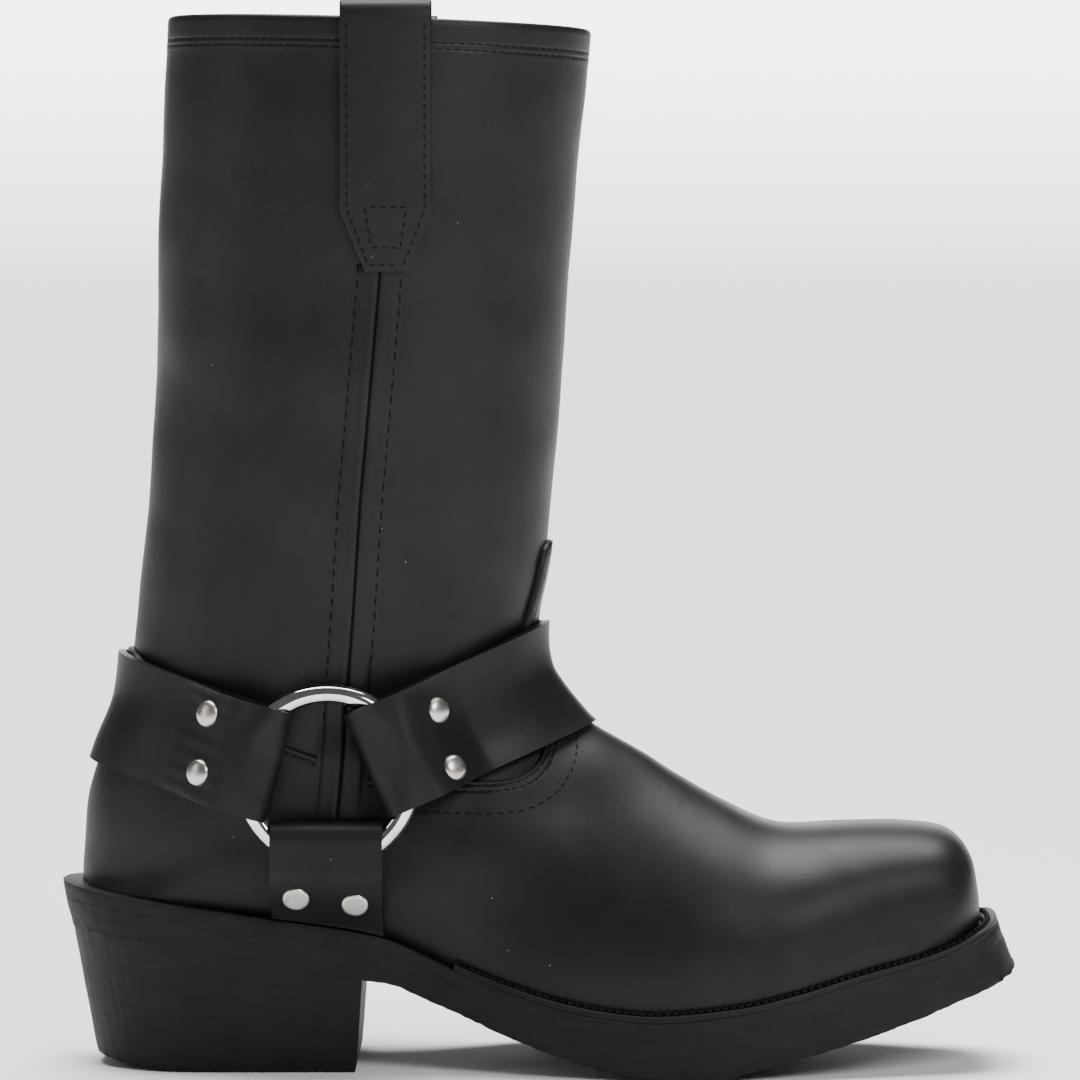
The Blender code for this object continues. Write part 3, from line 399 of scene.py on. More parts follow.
def surface(along, around):
    """Points of the upper: along runs over the sections, around from -1 (outer) to 1 (inner)."""
    along = np.asarray(along, float)[:, None]
    around = np.asarray(around, float)[None, :]
    numbers = np.arange(len(SECTIONS))
    ridge_x, ridge_z, outer, inner = (flowing(SECTIONS[:, k], along) for k in (0, 1, 4, 5))
    base_x, base_z, widest, ridge_round, base_round = (
        smooth(numbers, SECTIONS[:, k], along) for k in (2, 3, 6, 7, 8))
    on_feather = along >= HEEL_SECTION - 1e-6
    base_z = np.where(on_feather, sole_top(base_x) + GAP, base_z)
    side = np.where(around < 0, -1, 1)
    wide = np.where(side < 0, outer, inner)
    foot = np.where(on_feather, feather_reach(base_x, side), 0.0)
    first = 2 / ridge_round
    second = 2 / base_round
    angle = np.abs(around) * pi
    near = np.clip(angle, 0, pi / 2)
    near_cos = np.clip(np.cos(near), 0, 1) ** first
    near_sin = np.clip(np.sin(near), 0, 1) ** first
    cut = np.clip(foot / wide, 0, WIDEST_FOOT)
    last_angle = np.arccos(cut ** (1 / second))
    far = np.clip(angle - pi / 2, 0, pi / 2) / (pi / 2) * last_angle
    far_cos = np.clip(np.cos(far), 0, 1) ** second
    far_share = (np.clip(np.sin(far), 0, 1) / np.sin(last_angle)) ** second
    on_ridge = angle <= pi / 2
    share = np.where(on_ridge, widest * (1 - near_cos), widest + (1 - widest) * far_share)
    reach = np.where(on_ridge, wide * near_sin, wide * far_cos + (foot - wide * cut) * far_share)
    x = ridge_x + (base_x - ridge_x) * share
    z = ridge_z + (base_z - ridge_z) * share
    last = ease((along - (LAST_SECTION - TOE_BLEND)) / TOE_BLEND)
    reach = reach + (feather_reach(x, side) - reach) * last
    z = z + (sole_top(x) + GAP - z) * last ** 6
    return np.stack([x, side * reach, z], axis=-1)


# Meshes as arrays: points, normals and triangles

def vertex_normals(points, faces):
    normals = np.zeros_like(points)
    a, b, c = (points[faces[:, k]] for k in range(3))
    across = np.cross(b - a, c - a)
    for k in range(3):
        np.add.at(normals, faces[:, k], across)
    return normals / np.maximum(np.linalg.norm(normals, axis=1), 1e-12)[:, None]


HEEL_PASSES = 70
BACK_MARGIN = 0.10


def softened(grid, along, around):
    """The surface without the faint crease where its sections reach the sole at the heel."""
    near = bell(along - HEEL_SECTION, 1.0)[:, None, None]
    inner = ease((1 - np.abs(around)) / BACK_MARGIN)[None, :, None]
    for _ in range(HEEL_PASSES):
        grid = grid + (evened(grid) - grid) * near * inner
    return grid


def upper_grid(rows_on_shaft, rows_on_foot, columns):
    """The upper's surface as triangles, welded at the back, with outward normals."""
    shaft = np.linspace(0, len(SHAFT_SECTIONS) - 1, rows_on_shaft + 1)
    foot = np.linspace(len(SHAFT_SECTIONS) - 1, LAST_SECTION, rows_on_foot + 1)[1:]
    along = np.concatenate([shaft, foot])
    around = np.linspace(-1, 1, columns + 1)
    grid = softened(surface(along, around), along, around)
    index = np.arange(grid[..., 0].size).reshape(grid.shape[:2])
    welded = along < HEEL_SECTION - 1e-6
    index[welded, -1] = index[welded, 0]
    a = index[:-1, :-1].ravel()
    b = index[1:, :-1].ravel()
    c = index[1:, 1:].ravel()
    d = index[:-1, 1:].ravel()
    outer = np.tile(around[:-1] < 0, len(along) - 1)[:, None]
    first = np.where(outer, np.stack([a, b, d], 1), np.stack([a, b, c], 1))
    second = np.where(outer, np.stack([b, c, d], 1), np.stack([a, c, d], 1))
    used, renumbered = np.unique(np.concatenate([first, second]), return_inverse=True)
    faces = renumbered.reshape(-1, 3)
    points = grid.reshape(-1, 3)[used]
    corners = points[faces]
    sides = corners[:, 1:] - corners[:, :1]
    faces = faces[np.linalg.norm(np.cross(sides[:, 0], sides[:, 1]), axis=1) > 1e-10]
    normals = vertex_normals(points, faces)
    if normals[np.argmax(points[:, 1])][1] < 0:
        normals = -normals
        faces = faces[:, ::-1]
    on_sole = points[:, 2] < sole_top(points[:, 0]) + 2 * GAP
    normals[on_sole, 2] = 0
    normals /= np.linalg.norm(normals, axis=1)[:, None]
    return points, normals, faces


def lumps(points, wavelength, seed, count=7):
    """Soft unevenness between -1 and 1: a few waves in all directions."""
    chance = np.random.default_rng(seed)
    total = np.zeros(len(points))
    for _ in range(count):
        way = chance.normal(size=3)
        way *= 2 * pi / wavelength / np.linalg.norm(way) * chance.uniform(0.6, 1.5)
        total += np.sin(points @ way + chance.uniform(0, 2 * pi))
    return total / sqrt(count)


# Height, wavelength and seed of the wide dents and of the small creases
RELIEF = [(0.26 * MM, 0.055, 1), (0.05 * MM, 0.018, 2)]
RELIEF_FROM_RIM = 0.02
RELIEF_FROM_SOLE = 0.01


def relief(points):
    """How far the leather stands out from the plain form."""
    height = sum(size * lumps(points, wavelength, seed) for size, wavelength, seed in RELIEF)
    below_rim = np.clip(COLLAR - points[:, 2], 0, None)
    above_sole = points[:, 2] - sole_top(points[:, 0])
    return height * ease(below_rim / RELIEF_FROM_RIM) * ease(above_sole / RELIEF_FROM_SOLE)


def in_plane_slope(normals, way_x, way_z):
    """How fast a distance seen from the side changes on the surface itself."""
    facing = normals[:, 0] * way_x + normals[:, 2] * way_z
    return np.sqrt(np.clip(1 - facing * facing, 0.02, 1))


def seen_from_side(rows):
    return np.array([(world_x(place), height * COLLAR) for place, height in rows])


def signed_distance(points, normals, outline):
    """Distance on the surface from a line seen from the side; positive on its right hand."""
    best = np.full(len(points), np.inf)
    result = np.zeros(len(points))
    for (x0, z0), (x1, z1) in zip(outline[:-1], outline[1:]):
        along_x, along_z = x1 - x0, z1 - z0
        length = hypot(along_x, along_z)
        along_x, along_z = along_x / length, along_z / length
        dx, dz = points[:, 0] - x0, points[:, 2] - z0
        run = np.clip(dx * along_x + dz * along_z, 0, length)
        off_x, off_z = dx - run * along_x, dz - run * along_z
        away = np.hypot(off_x, off_z)
        side = np.where(dx * along_z - dz * along_x >= 0, 1.0, -1.0)
        steep = in_plane_slope(normals, off_x / (away + 1e-9), off_z / (away + 1e-9))
        closer = away < best - 1e-9
        best = np.where(closer, away, best)
        result = np.where(closer, side * away / steep, result)
    return result


def rounded_line(outline, step):
    """A line through the outline's points with its corners rounded."""
    lengths = lengths_along(outline)
    at = np.linspace(0, lengths[-1], int(lengths[-1] / step) + 2)
    return evened(interpolated(at, lengths, outline), 6)


def edges_of(face):
    return (face[0], face[1]), (face[1], face[2]), (face[2], face[0])


class Patch:
    """A piece of surface, its normals, and values kept at its points."""

    def __init__(self, points, normals, faces, **values):
        self.columns = {name: 6 + k for k, name in enumerate(values)}
        kept = [column[:, None] for column in values.values()]
        self.rows = np.concatenate([points, normals] + kept, axis=1)
        self.faces = faces

    def value(self, name):
        return self.rows[:, self.columns[name]]

    def crossings(self, name, level):
        """The values, which of them lie above the level, and which triangles it passes through."""
        values = self.value(name)
        values[np.abs(values - level) < 0.04 * MM] = level + 1e-7
        above = values > level
        inside = above[self.faces].sum(axis=1)
        return values, above, (inside == 1) | (inside == 2)

    def split(self, name, level):
        """Cuts the triangles along the line where the value passes this level."""
        values, above, mixed = self.crossings(name, level)
        rows = list(self.rows)
        faces = [tuple(f) for f in self.faces[~mixed]]
        made = {}

        def crossing(a, b):
            key = (min(a, b), max(a, b))
            if key not in made:
                share = (level - values[a]) / (values[b] - values[a])
                made[key] = len(rows)
                row = self.rows[a] + (self.rows[b] - self.rows[a]) * share
                row[self.columns[name]] = level + 1e-8
                rows.append(row)
            return made[key]

        for face in self.faces[mixed]:
            signs = [above[v] for v in face]
            lone = [k for k in range(3) if signs.count(signs[k]) == 1][0]
            a, b, c = (face[(lone + k) % 3] for k in range(3))
            ab = crossing(a, b)
            ac = crossing(a, c)
            faces += [(a, ab, ac), (ab, b, c), (ab, c, ac)]
        self.rows = np.array(rows)
        self.faces = np.array(faces)

    def keep(self, name):
        """Keeps what lies above nought of the value."""
        self.faces = self.faces[self.value(name)[self.faces].mean(axis=1) > 0]
        used, renumbered = np.unique(self.faces, return_inverse=True)
        self.faces = renumbered.reshape(-1, 3)
        self.rows = self.rows[used]

    def trace(self, name, level, allowed=None):
        """The line where the value has this level, as rows of points and normals."""
        values, above, mixed = self.crossings(name, level)
        ends = {}
        place = {}
        for face in self.faces[mixed]:
            keys = [(min(a, b), max(a, b)) for a, b in edges_of(face) if above[a] != above[b]]
            for a, b in keys:
                share = (level - values[a]) / (values[b] - values[a])
                place[a, b] = self.rows[a] * (1 - share) + self.rows[b] * share
            if allowed is None or all(allowed(place[key]) for key in keys):
                ends.setdefault(keys[0], []).append(keys[1])
                ends.setdefault(keys[1], []).append(keys[0])
        lines = []
        while ends:
            single = (key for key, others in ends.items() if len(others) == 1)
            line = [next(single, next(iter(ends)))]
            while line[-1] in ends:
                onward = [key for key in ends.pop(line[-1]) if key in ends]
                if not onward:
                    break
                line.append(onward[0])
            if len(line) > 4:
                lines.append(np.array([place[key] for key in line]))
        return lines

    def solid(self, high, low):
        """Closed mesh between two heights over the surface."""
        points, normals = self.rows[:, :3], self.rows[:, 3:6]
        count = len(points)
        verts = np.concatenate([points + normals * high[:, None], points + normals * low[:, None]])
        edges = dict.fromkeys(edge for face in self.faces for edge in edges_of(face))
        faces = [tuple(f) for f in self.faces]
        faces += [tuple(v + count for v in f[::-1]) for f in self.faces]
        faces += [(b, a, a + count, b + count) for a, b in edges if (b, a) not in edges]
        return verts, faces


# Materials

def feed(made, **sockets):
    """Sets or links a node's sockets; an underscore in a name stands for a space."""
    for name, value in sockets.items():
        socket = made.inputs[name.replace("_", " ")]
        if isinstance(value, bpy.types.NodeSocket):
            made.id_data.links.new(value, socket)
        else:
            socket.default_value = value
    return made


def new_node(tree, kind, **sockets):
    return feed(tree.nodes.new("ShaderNode" + kind), **sockets)


def new_material(name):
    made = bpy.data.materials.new(name)
    made.use_nodes = True
    return made, made.node_tree, made.node_tree.nodes["Principled BSDF"]


def object_place(tree):
    return new_node(tree, "TexCoord").outputs["Object"]


def noise(place, scale, **sockets):
    """Noise with its scale in patterns per metre."""
    made = new_node(place.id_data, "TexNoise", Vector=place, Scale=scale, **sockets)
    return made.outputs["Fac"]


def cell_distance(place, scale):
    return new_node(place.id_data, "TexVoronoi", Vector=place, Scale=scale).outputs["Distance"]


def mapped(source, low, high, to_low, to_high):
    made = new_node(source.id_data, "MapRange", Value=source, From_Min=low, From_Max=high,
                    To_Min=to_low, To_Max=to_high)
    return made.outputs["Result"]


def blended(share, first, second):
    """A colour between two others; each may be a socket or a colour."""
    made = new_node(share.id_data, "Mix")
    made.data_type = "RGBA"
    first, second = ((*c, 1.0) if isinstance(c, tuple) else c for c in (first, second))
    return feed(made, Factor=share, A=first, B=second).outputs["Result"]


def bumps(*layers):
    """Bumps one on another, each given by its height, distance and strength."""
    before = {}
    for height, distance, strength in layers:
        made = new_node(height.id_data, "Bump", Height=height, Distance=distance,
                        Strength=strength, **before)
        before = {"Normal": made.outputs["Normal"]}
    return before["Normal"]


def leather(name, colour, worn, roughness, grain=1.0, dust=1.0):
    """Oiled leather: fine pebbled grain, cloudy sheen, paler rubbed places, specks of dust."""
    made, tree, shader = new_material(name)
    place = object_place(tree)
    clouds = noise(place, 26, Detail=5.0, Roughness=0.62)
    blotches = noise(place, 110, Detail=4.0, Roughness=0.6)
    cells = cell_distance(place, 1150)
    pores = noise(place, 2600, Detail=3.0)
    wrinkles = noise(place, 330, Detail=5.0, Roughness=0.65, Distortion=0.6)
    specks = cell_distance(place, 95)
    base = blended(mapped(clouds, 0.35, 0.68, 0.0, 0.75), colour, worn)
    base = blended(mapped(blotches, 0.52, 0.75, 0.0, 0.5), base, worn)
    base = blended(mapped(specks, 0.018, 0.026, 0.55 * dust, 0.0), base, DUST_COLOUR)
    rough = mapped(clouds, 0.3, 0.7, roughness + 0.06, roughness - 0.05)
    skin_bumps = bumps((wrinkles, 0.09 * MM * grain, 0.7), (cells, 0.035 * MM * grain, 0.5),
                       (pores, 0.03 * MM * grain, 0.5))
    feed(shader, Base_Color=base, Roughness=rough, Specular_IOR_Level=0.18, Normal=skin_bumps)
    return made


def rubber(name, colour, worn, roughness):
    """Matte rubber, with the fine lengthwise scratches of a trimmed edge."""
    made, tree, shader = new_material(name)
    place = object_place(tree)
    stretched = new_node(tree, "Mapping", Vector=place, Scale=(0.10, 0.10, 1.0)).outputs["Vector"]
    lines = noise(stretched, 900, Detail=5.0, Roughness=0.65)
    clouds = noise(place, 60, Detail=4.0)
    crumbs = noise(place, 1400, Detail=3.0)
    base = blended(mapped(lines, 0.42, 0.72, 0.0, 0.6), colour, worn)
    base = blended(mapped(clouds, 0.5, 0.75, 0.0, 0.5), base, worn)
    rough = mapped(clouds, 0.3, 0.7, roughness - 0.05, roughness + 0.08)
    scratched = bumps((lines, 0.16 * MM, 0.7), (crumbs, 0.16 * MM, 0.8))
    feed(shader, Base_Color=base, Roughness=rough, Specular_IOR_Level=0.15, Normal=scratched)
    return made


def metal(name, colour, roughness, scratch):
    """Plated metal with faint wear."""
    made, tree, shader = new_material(name)
    place = object_place(tree)
    clouds = noise(place, 220, Detail=5.0, Roughness=0.6)
    fine = noise(place, 2400, Detail=3.0)
    darker = tuple(0.72 * c for c in colour)
    base = blended(mapped(clouds, 0.35, 0.7, 0.0, 0.7), colour, darker)
    rough = mapped(clouds, 0.35, 0.7, roughness, 1.4 * roughness + 0.03)
    feed(shader, Base_Color=base, Roughness=rough, Metallic=1.0, Normal=bumps((fine, scratch, 0.5)))
    return made


def thread(name, colour):
    """Waxed thread: fine twist and a soft gloss."""
    made, tree, shader = new_material(name)
    twist = noise(object_place(tree), 2600, Detail=2.0)
    lighter = tuple(2.2 * c for c in colour)
    base = blended(mapped(twist, 0.35, 0.65, 0.0, 1.0), colour, lighter)
    feed(shader, Base_Color=base, Roughness=0.7, Specular_IOR_Level=0.1,
         Normal=bumps((twist, 0.08 * MM, 0.8)))
    return made


DUST_COLOUR = (0.30, 0.30, 0.31)
LEATHER = leather("oiled_leather", (0.0044, 0.0047, 0.0048), (0.0092, 0.0095, 0.0096), 0.44)
STRAP_LEATHER = leather("strap_leather", (0.0046, 0.0049, 0.0050), (0.0094, 0.0097, 0.0098),
                        0.44, 0.8, 0.6)
LINING = leather("lining_leather", (0.070, 0.052, 0.038), (0.110, 0.085, 0.062), 0.75, 1.0, 0.0)
INSOLE = leather("insole_board", (0.090, 0.068, 0.050), (0.130, 0.100, 0.075), 0.80, 0.7, 0.0)
WELT = leather("welt_leather", (0.005, 0.005, 0.0053), (0.010, 0.010, 0.0104), 0.55, 1.2, 0.0)
SOLE_RUBBER = rubber("sole_rubber", (0.0065, 0.0067, 0.0068), (0.0150, 0.0152, 0.0153), 0.58)
THREAD = thread("black_thread", (0.0022, 0.0022, 0.0023))
CHROME = metal("ring_plating", (0.80, 0.80, 0.81), 0.05, 0.005 * MM)
NICKEL = metal("satin_nickel", (0.56, 0.535, 0.50), 0.26, 0.02 * MM)


# Making pieces

def new_object(name, data, place=(0.0, 0.0, 0.0)):
    made = bpy.data.objects.new(name, data)
    made.location = place
    bpy.context.scene.collection.objects.link(made)
    return made


def add_piece(name, verts, faces, surface_material, slot, replaces=(), sharp=40):
    mesh = bpy.data.meshes.new(name)
    mesh.from_pydata([tuple(v) for v in verts], [], [tuple(f) for f in faces])
    body = bmesh.new()
    body.from_mesh(mesh)
    bmesh.ops.recalc_face_normals(body, faces=body.faces)
    body.to_mesh(mesh)
    body.free()
    mesh.shade_smooth()
    mesh.set_sharp_from_angle(angle=radians(sharp))
    made = new_object(name, mesh)
    made.data.materials.append(surface_material)
    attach(made, "root")
    for node in replaces:
        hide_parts(node)
    return made


def tree_of(verts, faces):
    return BVHTree.FromPolygons([tuple(v) for v in verts], [tuple(f) for f in faces])


def between(first, second):
    """Closed solid between two grids of points, row by row."""
    first = np.asarray(first, float)
    second = np.asarray(second, float)
    rows, columns = first.shape[:2]
    count = rows * columns
    verts = np.concatenate([first.reshape(-1, 3), second.reshape(-1, 3)])
    faces = []
    for i in range(rows - 1):
        for j in range(columns - 1):
            a = i * columns + j
            quad = [a, a + 1, a + columns + 1, a + columns]
            faces += [quad, [v + count for v in quad[::-1]]]
    border = [(0, j) for j in range(columns)]
    border += [(i, columns - 1) for i in range(1, rows)]
    border += [(rows - 1, j) for j in range(columns - 2, -1, -1)]
    border += [(i, 0) for i in range(rows - 2, 0, -1)]
    loop = [i * columns + j for i, j in border]
    for a, b in zip(loop, loop[1:] + loop[:1]):
        faces.append([a, a + count, b + count, b])
    return verts, faces


def belt(rows, columns, start=0):
    """Faces between closed rings of points."""
    faces = []
    for ring in range(start, start + (rows - 1) * columns, columns):
        for j in range(columns):
            a = ring + j
            b = ring + (j + 1) % columns
            faces.append([a, b, b + columns, a + columns])
    return faces


def capped(rows, columns, start=0):
    """A belt with both ends closed."""
    first = list(range(start, start + columns))
    last = [v + (rows - 1) * columns for v in first]
    return belt(rows, columns, start) + [first[::-1], last]


def evenly(line, step, start=0.0):
    """Points and normals at even steps along a line of rows."""
    lengths = lengths_along(line[:, :3])
    rows = interpolated(np.arange(start, lengths[-1], step), lengths, line[:, :6])
    return rows[:, :3], rows[:, 3:]


STITCH_RINGS = 7
STITCH_SIDES = 6
STITCH_SLANT = 0.05
STITCH_SINK = 1.2
STITCH_END = 0.45
STITCH_TURNS = [2 * pi * s / STITCH_SIDES for s in range(STITCH_SIDES)]


def stitches(lines, pitch, length, radius, lift):
    """Short sunk-ended threads along lines on a surface: verts and faces."""
    verts = []
    faces = []
    for line in lines:
        for begin in range(len(evenly(line, pitch)[0])):
            path, normals = evenly(line, length / (STITCH_RINGS - 1), begin * pitch)
            if len(path) < STITCH_RINGS:
                break
            way = path[STITCH_RINGS - 1] - path[0]
            way /= np.linalg.norm(way)
            slant = CHANCE.normal(0, STITCH_SLANT)
            faces += capped(STITCH_RINGS, STITCH_SIDES, len(verts))
            for k in range(STITCH_RINGS):
                share = k / (STITCH_RINGS - 1) * 2 - 1
                up = normals[k]
                across = np.cross(way, up)
                arch = sqrt(max(0.0, 1 - share ** 4))
                sunk = lift - STITCH_SINK * radius * (1 - arch)
                centre = path[k] + up * sunk + across * slant * share * radius * 6
                thick = radius * (STITCH_END + (1 - STITCH_END) * arch)
                verts += [centre + thick * (across * cos(turn) + up * sin(turn))
                          for turn in STITCH_TURNS]
    return verts, faces


def sew(name, slot, lines, *sizes):
    """A piece of stitches; sizes are their pitch, length, radius and lift in millimetres."""
    add_piece(name, *stitches(lines, *(size * MM for size in sizes)), THREAD, slot)


# The upper and what is sewn on it

# Rows on the shaft, rows on the foot, columns
FINE_GRID = (84, 140, 168)
SKIN_GRID = (60, 100, 110)

POINTS, NORMALS, FACES = upper_grid(*FINE_GRID)
POINTS = POINTS + NORMALS * relief(POINTS)[:, None]
STITCH_GROOVE = 0.30 * MM
COLLAR_ROWS = [7.6 * MM, 9.6 * MM]
COLLAR_PROUD = 0.12 * MM
VAMP_ROWS = [1.7 * MM, 3.8 * MM]
VAMP_FAR_ROW = 11.0 * MM
VAMP_FAR_TOP = 0.1285
VAMP_STEP = 0.0015
VAMP_LINE_END = 0.62
COUNTER_ROWS = [1.9 * MM]
COUNTER_STEP = 0.002
COUNTER_LINE_START = -0.2
OFF_SEAM = 2.5 * MM
SEAM_ROW = 6.9 * MM
SEAM_SOFT_EDGE = 8.2 * MM
SEAM_RUN_ON = 21.0 * MM
SEAM_LIFT = 0.02 * MM
EDGE_ROLL = 0.9 * MM

# Where the surface is cut finer, in millimetres from each edge
COLLAR_CUTS = [0.5, 1.2, 6.6, 7.2, 7.6, 8.0, 8.6, 9.2, 9.6, 10.0, 10.6, 11.6]
VAMP_CUTS = [0.0, 0.25, 0.6, 0.95, 1.3, 1.7, 2.1, 2.7, 3.4, 3.8, 4.2, 5.0]
COUNTER_CUTS = [0.0, 0.25, 0.6, 0.95, 1.4, 1.9, 2.4, 3.2]
SEAM_CUTS = [-7.5, -6.9, -6.3, -5.4, -3.4, -2.4, -1.7, -1.1, -0.7, -0.35, 0.0,
             0.35, 0.7, 1.1, 1.9, 2.8, 4.0, 5.4, 6.3, 6.9, 7.5]

SEAM_X, SEAM_Z = seen_from_side(sorted(SIDE_SEAM, key=lambda row: row[1])).T


def seam_x(z):
    return np.interp(z, SEAM_Z, SEAM_X)


def collar_height(x):
    front_x, front_z, back_x, back_z = SECTIONS[0][:4]
    return back_z + (front_z - back_z) * (x - back_x) / (front_x - back_x)


def groove(distance, row, width=EDGE_ROLL):
    """Dip along a row of stitches, 1 in its middle."""
    return bell(distance - row, 0.45 * width)


def seam_distance(points, normals):
    return (points[:, 0] - seam_x(points[:, 2])) / in_plane_slope(normals, 1.0, 0.0)


def upper_height(depth):
    """The turned edge at the collar stands a little proud, with sunk stitches."""
    proud = COLLAR_PROUD * (1 - ease((depth - 10.0 * MM) / (1.6 * MM)))
    for row in COLLAR_ROWS:
        proud = proud - 0.6 * STITCH_GROOVE * groove(depth, row)
    return proud


def make_upper():
    depth = collar_height(POINTS[:, 0]) - POINTS[:, 2]
    patch = Patch(POINTS, NORMALS, FACES, depth=depth)
    for level in COLLAR_CUTS:
        patch.split("depth", level * MM)
    depth = patch.value("depth")
    rim = WALL * 0.45 * np.clip(1 - depth / (1.1 * MM), 0, 1) ** 2
    verts, faces = patch.solid(upper_height(depth) - rim, rim - WALL)
    upper = add_piece("upper_leather", verts, faces, LEATHER, "leather", ["upper"])
    upper.data.materials.append(LINING)
    count = len(patch.rows)
    for face in upper.data.polygons:
        if all(v >= count for v in face.vertices):
            face.material_index = 1
    rows = [line for level in COLLAR_ROWS for line in patch.trace("depth", level)]
    for line in rows:
        line[:, :3] += line[:, 3:6] * upper_height(np.full(1, COLLAR_ROWS[0]))[0]
    return rows


def edge_profile(distance, rows):
    """Height over the surface of an overlay with a rounded edge and sunk stitches."""
    round_off = np.clip(1 - distance / EDGE_ROLL, 0, 1)
    height = GAP + OVERLAY * (0.25 + 0.75 * np.sqrt(1 - round_off ** 2))
    height = height + 0.10 * MM * groove(distance, EDGE_ROLL, 1.2 * MM)
    for row in rows:
        height = height - STITCH_GROOVE * groove(distance, row)
    return height


def overlay(node, patch, rows, cuts):
    for level in cuts:
        patch.split("inside", level * MM)
    patch.keep("inside")
    height = edge_profile(patch.value("inside"), rows)
    verts, faces = patch.solid(height, np.full(len(height), GAP / 3))
    add_piece(node + "_leather", verts, faces, LEATHER, "leather", [node])


def stitch_lines(patch, field, rows, height, allowed):
    lines = [line for row in rows for line in patch.trace(field, row, allowed)]
    for line in lines:
        line[:, :3] += line[:, 3:6] * height
    return lines


def make_vamp():
    edge = seen_from_side(VAMP_EDGE)
    edge[0, 0] = seam_x(edge[0, 1]) + GAP
    line = rounded_line(edge, VAMP_STEP)
    line = np.concatenate([line, [(world_x(VAMP_LINE_END), line[-1, 1])]])
    from_edge = signed_distance(POINTS, NORMALS, line)
    from_seam = seam_distance(POINTS, NORMALS) - GAP
    low = POINTS[:, 2] < edge[0, 1] + 0.01
    inside = np.minimum(from_edge, np.where(low, from_seam, np.inf))
    inside = np.where(POINTS[:, 2] > line[-1, 1] + 0.03, -0.03, inside)
    patch = Patch(POINTS, NORMALS, FACES, inside=inside, edge=from_edge)
    overlay("vamp", patch, VAMP_ROWS, VAMP_CUTS)

    def on_vamp(row):
        return row[0] > seam_x(row[2]) + OFF_SEAM

    def below_edge(row):
        return on_vamp(row) and row[2] < VAMP_FAR_TOP

    top = GAP + OVERLAY
    close = stitch_lines(patch, "inside", VAMP_ROWS, top - STITCH_GROOVE, on_vamp)
    return close, stitch_lines(patch, "edge", [VAMP_FAR_ROW], top, below_edge)


def make_counter():
    edge = seen_from_side(COUNTER_EDGE)
    edge[-1, 0] = seam_x(edge[-1, 1]) - GAP
    line = rounded_line(edge, COUNTER_STEP)
    line = np.concatenate([[(world_x(COUNTER_LINE_START), line[0, 1])], line])
    from_edge = signed_distance(POINTS, NORMALS, line)
    from_seam = -seam_distance(POINTS, NORMALS) - GAP
    patch = Patch(POINTS, NORMALS, FACES, inside=np.minimum(from_edge, from_seam))
    overlay("counter", patch, COUNTER_ROWS, COUNTER_CUTS)
    return stitch_lines(patch, "inside", COUNTER_ROWS, GAP + OVERLAY - STITCH_GROOVE,
                        lambda row: row[0] < seam_x(row[2]) - OFF_SEAM)


def seam_height(across, fade):
    """Band over the side seam: soft sides, a ridge on the back half, a groove in the middle."""
    away = np.abs(across)
    band = SEAM_HEIGHT * ease((SEAM_SOFT_EDGE - away) / (3.0 * MM))
    ridge = 0.55 * MM * bell(across + 1.7 * MM, 1.3 * MM)
    front = 0.20 * MM * bell(across - 1.9 * MM, 1.3 * MM)
    dip = 0.85 * SEAM_HEIGHT * bell(across, 0.36 * MM)
    rows = STITCH_GROOVE * 0.8 * groove(away, SEAM_ROW)
    height = GAP * 0.3 + (band + ridge + front) * fade - dip * fade - rows * fade
    return np.maximum(height, 0.06 * MM)


def make_side_seam(name, side):
    joint = SEAM_BOTTOM * COLLAR
    low_end = joint - SEAM_RUN_ON - 4 * MM
    high_end = SEAM_TOP * COLLAR + 6 * MM
    across = seam_distance(POINTS, NORMALS)
    across = np.where(POINTS[:, 1] * side > 0.02, across, 1.0)
    z = POINTS[:, 2]
    inside = np.minimum(SEAM_SOFT_EDGE - np.abs(across), np.minimum(z - low_end, high_end - z))
    patch = Patch(POINTS, NORMALS, FACES, inside=inside, across=across)
    patch.split("inside", 0.0)
    patch.keep("inside")
    for level in SEAM_CUTS:
        patch.split("across", level * MM)
    fade = ease((patch.value("inside") + 0.4 * MM) / (2.0 * MM))
    over = ease((joint + 10.0 * MM - patch.rows[:, 2]) / (15.0 * MM))
    height = seam_height(patch.value("across"), fade) + (OVERLAY + 1.5 * GAP) * over
    verts, faces = patch.solid(height, np.full(len(height), SEAM_LIFT))
    add_piece("side_seam_band_" + name, verts, faces, LEATHER, "leather", ["side_seam_" + name])
    return stitch_lines(patch, "across", (-SEAM_ROW, SEAM_ROW), 0.35 * MM,
                        lambda row: row[2] > joint + 2 * MM)


# Sole, heel, welt and insole

SOLE_BACK = FEATHER_BACK - SOLE_BACK_OVERHANG
SOLE_TOE = FEATHER_TOE + SOLE_TOE_OVERHANG
BACK_LEAN = HEEL_BACK_UNDERCUT / float(sole_top(SOLE_BACK))
TOE_LEAN = TOE_FACE_LEAN / BALL_THICKNESS
HEEL_SEAT_OVERLAP = 1.0 * MM
CALM_ROWS = 0.28
SOLE_STATIONS = 230
HEEL_STATIONS = 500
WELT_STATIONS = 300
WELT_SHARES = (0, 0.08, 0.3, 0.5, 0.7, 0.92, 1.0)
WELT_EDGE_HEIGHT = 0.72
WELT_STITCH_SHARE = 0.30

